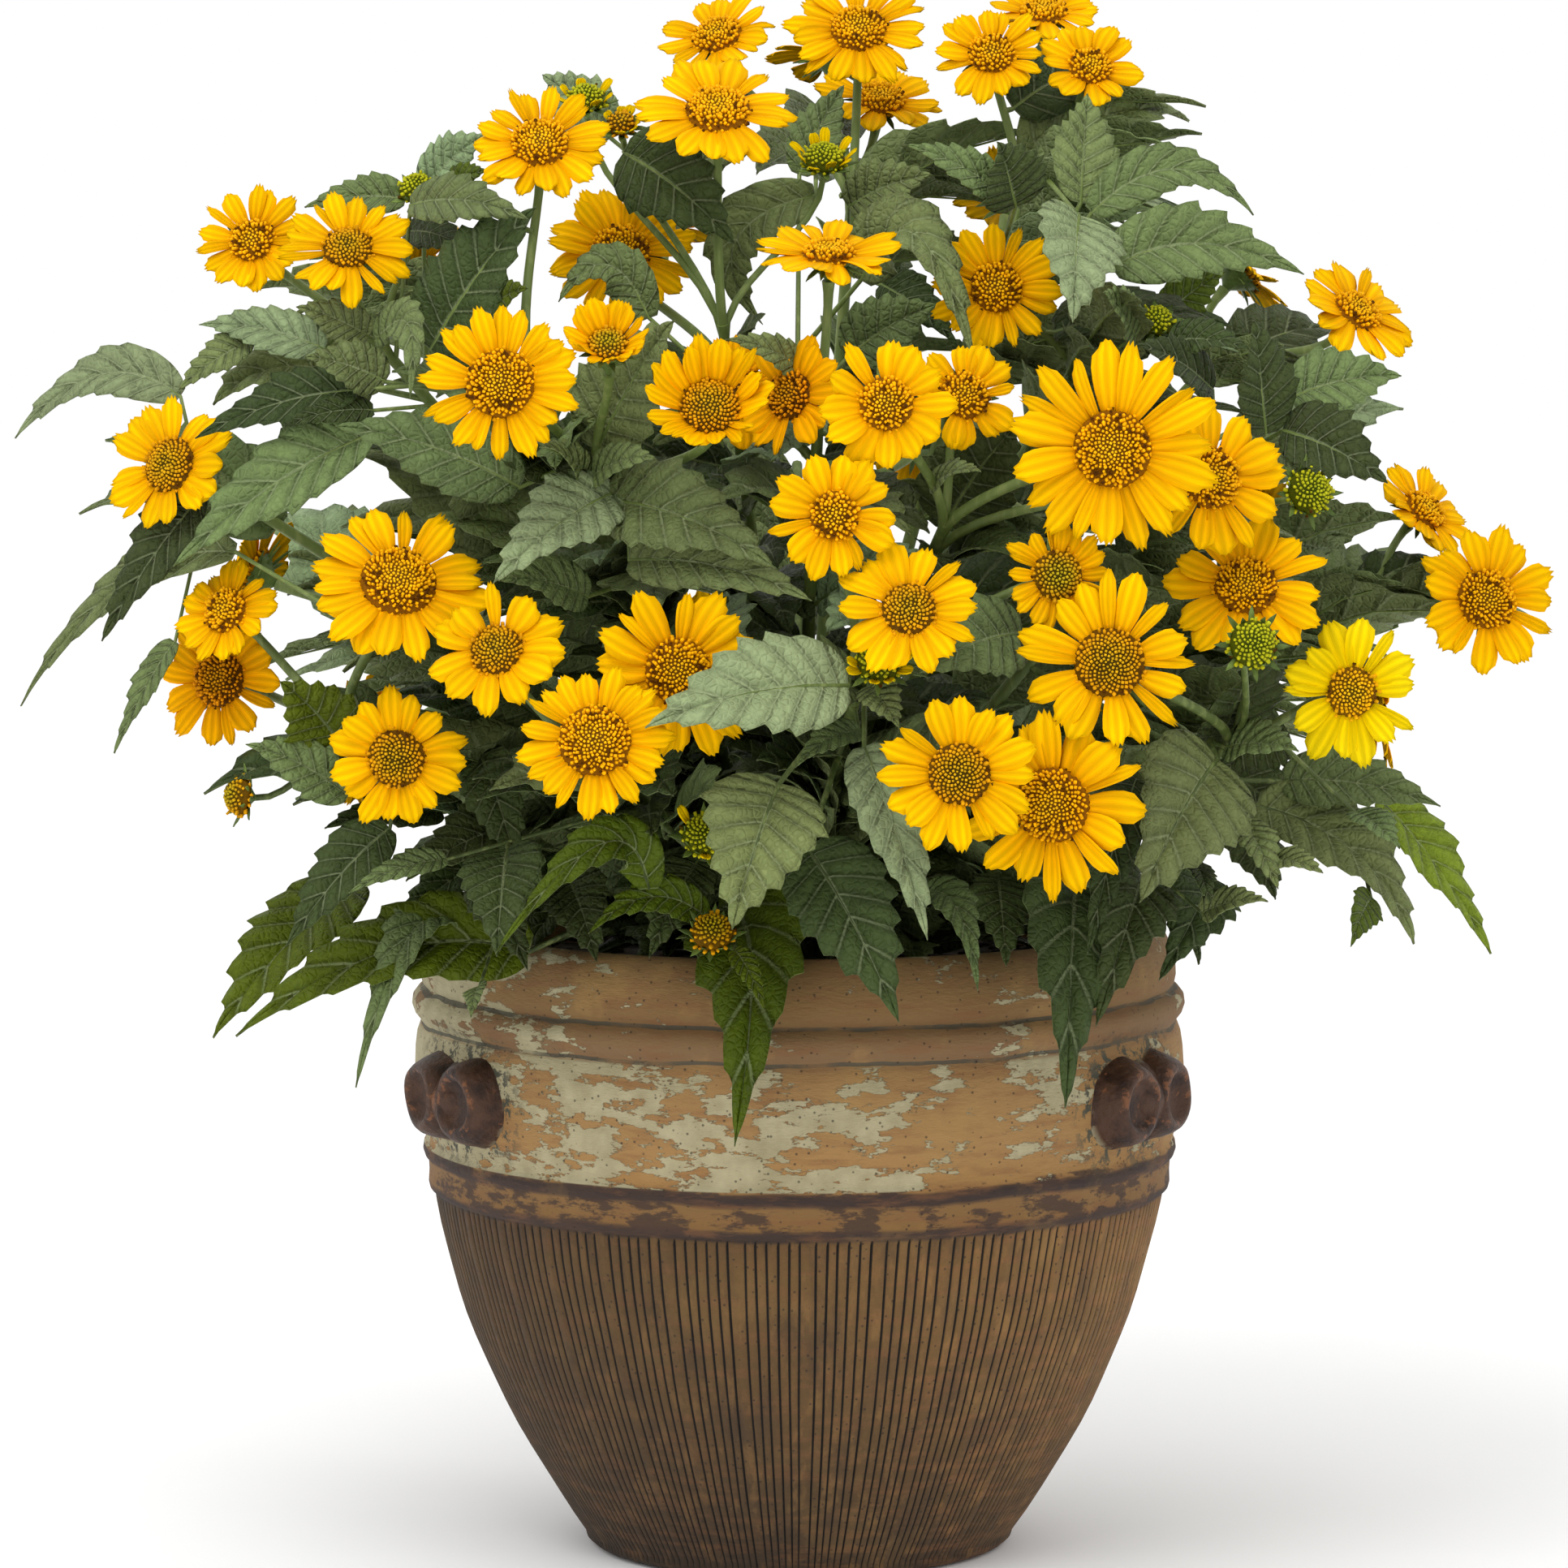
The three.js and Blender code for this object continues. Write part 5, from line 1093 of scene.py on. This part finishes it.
# The flower heads. Each has a ring of soft yellow rays, pleated along their length and notched at
# the tip, round a domed disc that is packed with small tubular florets in spirals. A look gives the
# rays' colours from root to tip, and the florets' from the disc's middle out, at foot and at tip.
RAY_OUTLINE = ((0, 0.15, 0.35, 0.62, 0.82, 0.93, 1), (0.42, 0.62, 0.84, 1, 0.93, 0.76, 0.5))
RAY_THICKNESS = 0.35
FLORET_GAP = 1.5
GOLDEN_TURN = 2.39996
DOME_SHARES = (0, 0.35, 0.62, 0.82, 0.95, 1, 0.9)
DOME_HEIGHTS = (0.36, 0.33, 0.26, 0.17, 0.07, 0, -0.06)
DARK_ANTHER = "#4E2C06"
LOOKS = {
    "ripe": (
        ("#DA9000", "#F8B000", "#FFC200"),
        ("#9A6606", "#A86E06", "#C47C06"), ("#FFC614", "#FFBC0A", "#FFB604"),
    ),
    "deep": (
        ("#D08400", "#F2A400", "#FAB200"),
        ("#7C5006", "#845206", "#945C06"), ("#DC9C0E", "#E4980A", "#F09808"),
    ),
    "green": (
        ("#D88C00", "#F8B000", "#FFC000"),
        ("#665A0A", "#745E08", "#A07008"), ("#BCA81C", "#C8A418", "#ECA60C"),
    ),
    "young": (
        ("#DE9400", "#FAB400", "#FFC400"),
        ("#6A5408", "#745608", "#966408"), ("#D4A816", "#DCA410", "#ECA208"),
    ),
    "lemon": (
        ("#E2B800", "#F4CE00", "#F8D80A"),
        ("#866C08", "#906C08", "#B07A08"), ("#F2C21A", "#F8BA10", "#FCB60A"),
    ),
    "bud": (
        ("#D8A400", "#F2C400", "#F8D000"),
        ("#56640E", "#64700E", "#727A10"), ("#B0B420", "#BEBE20", "#C8C41E"),
    ),
}


def in_head(head, out, turn, high, aside=0.0):
    """Places in a head: out from its axis at a turn round it, high over it, and aside of that line"""
    cos, sin = np.cos(turn), np.sin(turn)
    across = np.multiply.outer(out * cos - aside * sin, head["across"])
    along = np.multiply.outer(out * sin + aside * cos, head["along"])
    return head["middle"] + across + along + np.multiply.outer(high, head["axis"])


def blended(colours, shares):
    """Colours between the given hex colours at shares from 0 to 1"""
    stops = np.array([linear(colour) for colour in colours])
    places = np.linspace(0, 1, len(stops))
    return np.stack([np.interp(shares, places, stops[:, k]) for k in range(4)], axis=-1)


def round_places(corners):
    """How far corners lie from their form's axis, and at which turn round it"""
    return np.hypot(corners[:, 0], corners[:, 1]), np.arctan2(corners[:, 1], corners[:, 0])


def ray_parts(head, number):
    """A ring of rays round a head's disc"""
    u, q, under = sheet_places(ray_sheet)
    radius, count, start = head["radius"], head["rays"], 0.8 * head["disc"]
    parts = []
    for k in range(count):
        lift = math.radians(head["lift"] + 7 * uneven(number, k + 30))
        length = radius * (0.97 + 0.09 * uneven(number, k + 60)) - start
        half = (1.18 + 0.2 * uneven(number, k + 70)) * math.pi * 0.73 * radius / count
        folded = uneven(number, k + 90) > 0.7
        notched = 0.032 + 0.02 * uneven(number, k + 80)
        ragged = notched * np.cos(3 * np.pi * u) - 0.07 * u * u + 0.03 * uneven(number, k + 85) * u
        out = length * (q + q ** 8 * ragged)
        aside = half * np.interp(q, *RAY_OUTLINE) * u * (0.55 if folded else 1)
        high = (0.03 + 0.022 * half) * 3 * np.cos(3 * np.pi * u) * (0.3 + 0.7 * np.sin(np.pi * q * 0.9))
        high += (0.8 if folded else 0.12 + 0.3 * uneven(number, k + 100)) * aside ** 2 / half
        droop = (0.09 + 0.13 * uneven(number, k + 110)) * (1 - math.sin(lift)) - 0.12 * math.sin(lift)
        high -= droop * length * q ** 2.2 + 0.35 * (k % 2)
        high += 0.35 * np.sin(5 * q + 3 * uneven(number, k + 120)) * np.abs(u)
        turn = 0.35 * uneven(number, k + 130) * q
        aside, high = aside * np.cos(turn) - high * np.sin(turn), aside * np.sin(turn) + high * np.cos(turn)
        aside = aside + 0.1 * length * uneven(number, k + 140) * q * q
        high = high - RAY_THICKNESS * under
        reach = start + out * math.cos(lift) - high * math.sin(lift)
        raised = out * math.sin(lift) + high * math.cos(lift) + 0.6
        around = (k + 0.26 * uneven(number, k)) / count * 2 * math.pi
        colours = blended(LOOKS[head["look"]][0], np.clip(0.12 + 1.1 * q - 0.15 * np.abs(u), 0, 1) ** 0.7)
        colours[:, :3] *= (1 + 0.09 * uneven(number, k + 150)) * (1 - 0.12 * under)[:, None]
        parts.append((ray_sheet, in_head(head, reach, around, raised, aside), colours))
    return parts


def disc_parts(head, number, bulge=1.0):
    """A domed disc, with its florets in spirals"""
    radius = head["disc"]
    feet, tips = LOOKS[head["look"]][1:]
    dome = corners_of(disc_dome)
    out, turns = round_places(dome)
    out = out * radius
    # The dome between the florets takes their feet's colour darkened: painted shade in the gaps between them.
    between = blended(feet, out / radius) * (0.42, 0.42, 0.42, 1)
    parts = [(disc_dome, in_head(head, out, turns, dome[:, 2] * radius * bulge), between)]
    florets = round(math.pi * radius ** 2 / FLORET_GAP ** 2 * 0.95)
    grid = corners_of(floret)
    tip = grid[:, 2] > 0
    for k in range(florets):
        share = math.sqrt((k + 0.5) / florets)
        lean = (0.65 + 0.3 * bulge) * share ** (3.2 - bulge)
        high = radius * bulge * np.interp(share, DOME_SHARES, DOME_HEIGHTS)
        open_one = share > (0.5 if head["look"] in ("ripe", "deep") else 0.84)
        tall = 0.9 + 0.25 * uneven(number, k) - 0.3 * (share < 0.3)
        if open_one:
            tall = 1.8 + 0.8 * uneven(number, k)
        wide = (0.54 + 0.12 * uneven(number, k + 500)) * (0.84 + 0.3 * share) * FLORET_GAP
        stray = 0.5 if open_one else 0.12
        stand = (grid[:, 2] + 0.5) * (tall + 0.5) - 0.5
        spread = grid[:, 0] * wide + stray * uneven(number, k + 300)
        reach = 0.96 * radius * share + spread * math.cos(lean) + stand * math.sin(lean)
        raised = high - spread * math.sin(lean) + stand * math.cos(lean)
        anther = open_one and uneven(number, k + 700) > 0.82
        shade = 1 + 0.15 * uneven(number, k + 900)
        top = linear(DARK_ANTHER) if anther else blended(tips, share) * (shade, shade, shade, 1)
        tinted = np.where(tip[:, None], top, blended(feet, share))
        sideways = grid[:, 1] * wide + stray * uneven(number, k + 400)
        parts.append((floret, in_head(head, reach, k * GOLDEN_TURN, raised, sideways), tinted))
    return parts


def tinted_skin(name, roughness, ior, grain_size, relief, **sockets):
    """A material with the piece's own tint, mottled by a fine grain that also roughens it"""
    skin = new_material(name, roughness, ior, **sockets)
    tint = node(skin, "Attribute", attribute_name="tint", out="Color")
    skin_place = node(skin, "TexCoord", out="Object")
    skin_grain = node(skin, "TexNoise", {"Vector": skin_place, "Scale": 1 / (grain_size * MM), "Detail": 3})
    shade = node(skin, "MapRange", {0: skin_grain, 1: 0.3, 2: 0.7, 3: 0.75, 4: 1.2})
    mottled = node(skin, "Mix", {0: 1, 6: tint, 7: shade}, blend_type="MULTIPLY", **BLEND)
    finish_material(skin, mottled, skin_grain, relief)
    return skin


ray_sheet = sheet("ray", 6, 6)
dome_form = spun(list(zip(DOME_SHARES, DOME_HEIGHTS)) + [(0, DOME_HEIGHTS[-1])], 24)
disc_dome = mesh_of(dome_form, "disc dome", 1)
floret_form = bmesh.new()
bmesh.ops.create_cone(floret_form, cap_ends=True, segments=4, radius1=1, radius2=0.75, depth=1)
floret = mesh_of(floret_form, "floret", 1)
for source in (disc_dome, floret):
    source.polygons.foreach_set("material_index", [1] * len(source.polygons))

# Petal: soft and matt, deeper yellow at the root, with fine lines and pleats along it; painted shade darkens
# the grooves of its pleats and painted light brightens their ridges.
petal = new_material("soft yellow petal", 0.6, 1.4, Specular_IOR_Level=0.04)
petal_tint = node(petal, "Attribute", attribute_name="tint", out="Color")
petal_map = node(petal, "UVMap", uv_map="UVMap")
petal_lines = node(petal, "Mapping", {"Vector": petal_map, "Scale": (34, 1.2, 1)})
petal_grain = node(petal, "TexNoise", {"Vector": petal_lines, "Scale": 1, "Detail": 3})
petal_u = node(petal, "SeparateXYZ", {0: petal_map})
petal_pleat = node(petal, "Math", {0: petal_u, 1: 6 * math.pi}, operation="MULTIPLY")
petal_pleat = node(petal, "Math", {0: petal_pleat}, operation="COSINE")
petal_height = node(petal, "Math", {0: petal_pleat, 1: 0.5, 2: petal_grain}, operation="MULTIPLY_ADD")
petal_pleat_shade_and_lines = node(petal, "MapRange", {0: petal_height, 1: -0.1, 2: 1.1, 3: 0.76, 4: 1.14})
petal_lined_and_shaded = node(petal, "Mix", {0: 1, 6: petal_tint, 7: petal_pleat_shade_and_lines}, blend_type="MULTIPLY", **BLEND)
finish_material(petal, petal_lined_and_shaded, petal_height, 0.3)

# Disc florets: small matt tubes, orange-brown at the foot and golden at the tip.
disc_skin = tinted_skin("tubular disc florets", 0.6, 1.4, 0.8, 0.3, Specular_IOR_Level=0.08)
for number, head in enumerate(heads):
    name = f"head_{number + 1:02d}"
    parts = ray_parts(head, number) + disc_parts(head, number)
    piece(name, gathered(name, parts), [petal, disc_skin], "flower", f"flower_{name}")

# The bracts: a green cup behind each head, where its stalk widens, with two whorls of narrow pointed
# bracts under the rays. They are grown in one with the stalk.
HEAD_BRACTS = 14
BRACT_HALF_WIDTH = 1.5
BRACT_GREENS = ("#5E722E", "#70863A", "#506428")
CUP_PROFILE = [(0, 0), (0.98, 0), (0.9, -0.16), (0.6, -0.45), (0.22, -0.85), (0.1, -1), (0, -1)]
bract_sheet = sheet("bract", 2, 3)
bract_cup = mesh_of(spun(CUP_PROFILE, 16), "bract cup", 1)


def bract(head, out, length, turn, lift, high, curl, number):
    """A narrow pointed bract"""
    u, q, under = sheet_places(bract_sheet)
    aside = BRACT_HALF_WIDTH * (1 - q) ** 0.7 * (0.75 + q) * u + 0.03 * u
    raised = curl * length * q * q + 0.25 * np.abs(u) - 0.35 * under
    reach = out + q * length * math.cos(lift) - raised * math.sin(lift)
    lifted = high + q * length * math.sin(lift) + raised * math.cos(lift)
    tone = np.tile(linear(BRACT_GREENS[number % len(BRACT_GREENS)]), (len(q), 1))
    return bract_sheet, in_head(head, reach, turn, lifted, aside), tone


def cup_part(head, wide, deep, sunk, colour):
    """The green cup behind a head or bud"""
    cup = corners_of(bract_cup)
    out, turns = round_places(cup)
    places = in_head(head, out * wide * head["disc"], turns, cup[:, 2] * deep - sunk)
    return bract_cup, places, np.tile(linear(colour), (len(cup), 1))


# Green bract: satin and a little uneven, like a young leaf.
bract_skin = tinted_skin("green bract", 0.55, 1.42, 1.5, 0.2)
parts = []
for number, head in enumerate(heads):
    parts.append(cup_part(head, wide=0.95, deep=-head["back"] - 0.5, sunk=0.4, colour="#5F7438"))
    for k in range(HEAD_BRACTS):
        inner = k % 2
        length = (0.36 + 0.05 * uneven(number, k)) * head["radius"]
        turn = (k + 0.2 * uneven(number, k + 20)) / HEAD_BRACTS * 2 * math.pi
        lift = math.radians(0.7 * head["lift"] - 4 - 8 * inner)
        parts.append(bract(head, (0.62 - 0.12 * inner) * head["disc"], length, turn, lift,
                           high=-2.2 - 1.4 * inner, curl=-0.15, number=k))
piece("bracts", gathered("bracts", parts), [bract_skin], "foliage", "leafy_stems")

# The buds: round green knobs of closed florets, held in a star of pointed bracts, of the same living
# stuff as the heads. The ones that are about to open show short yellow rays.
BUD_RAYS = (0, 0, 0, 9, 7, 0, 10, 0, 3, 0, 7)
BUD_LOOKS = {2: "green", 7: "green", 10: "young"}
BUD_BRACTS = 16
BUD_BULGE = 2
parts = []
ray_pieces = []
for number, bud in enumerate(buds):
    head = {**bud, "disc": 0.98 * bud["radius"], "look": BUD_LOOKS.get(number, "bud")}
    parts += disc_parts(head, number + 200, BUD_BULGE)
    parts.append(cup_part(head, wide=0.98, deep=BUD_CUP * bud["radius"] + 0.6, sunk=0, colour="#6B8040"))
    for k in range(BUD_BRACTS):
        inner = k % 2
        turn = (k + 0.3 * uneven(number, k + 20)) / BUD_BRACTS * 2 * math.pi
        lift = math.radians(12 + 38 * inner + 12 * uneven(number, k + 40))
        parts.append(bract(head, 0.72 * head["disc"], (0.95 - 0.25 * inner) * bud["radius"], turn, lift,
                           high=-0.25 * bud["radius"], curl=0.1, number=k))
    for k in range(BUD_RAYS[number]):
        u, q, under = sheet_places(ray_sheet)
        lift = math.radians(48 + 15 * uneven(number, k))
        length = bud["radius"] * (0.85 + 0.25 * uneven(number, k + 10))
        aside = 2.2 * np.interp(q, *RAY_OUTLINE) * u
        raised = 0.25 * np.cos(3 * np.pi * u) + 0.12 * aside ** 2 - 0.3 * under
        reach = 0.85 * head["disc"] + q * length * math.cos(lift) - raised * math.sin(lift)
        high = q * length * math.sin(lift) + raised * math.cos(lift)
        around = (k + 0.3 * uneven(number, k + 60)) / BUD_RAYS[number] * 2 * math.pi
        yellow = blended(LOOKS["bud"][0], 0.3 + 0.7 * q)
        ray_pieces.append((ray_sheet, in_head(head, reach, around, high, aside), yellow))
piece("buds", gathered("buds", parts), [bract_skin, disc_skin], "foliage", "leafy_stems")
piece("bud_rays", gathered("bud_rays", ray_pieces), [petal], "flower", "leafy_stems")

# The studio: a pale floor under a pale surround that lights the object from all round, and one large
# soft lamp that hangs in front and to the left of it, for the shadow on the floor.
WHITE = "#FFFFFF"
FLOOR_RADIUS = 9000
LAMP_SIZE = 1.2
LAMP_WATTS = 22
LAMP_PLACE = Vector((-0.5, -1.4, 2.3))
LAMP_AIM = Vector((0, 0, 0.35))
floor_form = bmesh.new()
bmesh.ops.create_circle(floor_form, cap_ends=True, segments=64, radius=FLOOR_RADIUS)
studio_floor = bpy.data.objects.new("floor", mesh_of(floor_form, "floor"))
bpy.context.scene.collection.objects.link(studio_floor)

# Floor paint: matt white, with no gloss.
paint = new_material("pale matt floor paint", 0.9, Specular_IOR_Level=0)
paint.node_tree.nodes["Principled BSDF"].inputs["Base Color"].default_value = linear(WHITE)
studio_floor.data.materials.append(paint)
studio = bpy.data.worlds.new("studio")
studio.use_nodes = True
surround = studio.node_tree.nodes["Background"]
surround.inputs["Color"].default_value = linear(WHITE)
surround.inputs["Strength"].default_value = 1
bpy.context.scene.world = studio
bpy.context.scene.view_settings.view_transform = "Standard"
lamp = bpy.data.objects.new("key", bpy.data.lights.new("key", "AREA"))
lamp.data.size = LAMP_SIZE
lamp.data.energy = LAMP_WATTS
lamp.location = LAMP_PLACE
lamp.rotation_euler = (LAMP_AIM - LAMP_PLACE).to_track_quat("-Z", "Y").to_euler()
bpy.context.scene.collection.objects.link(lamp)
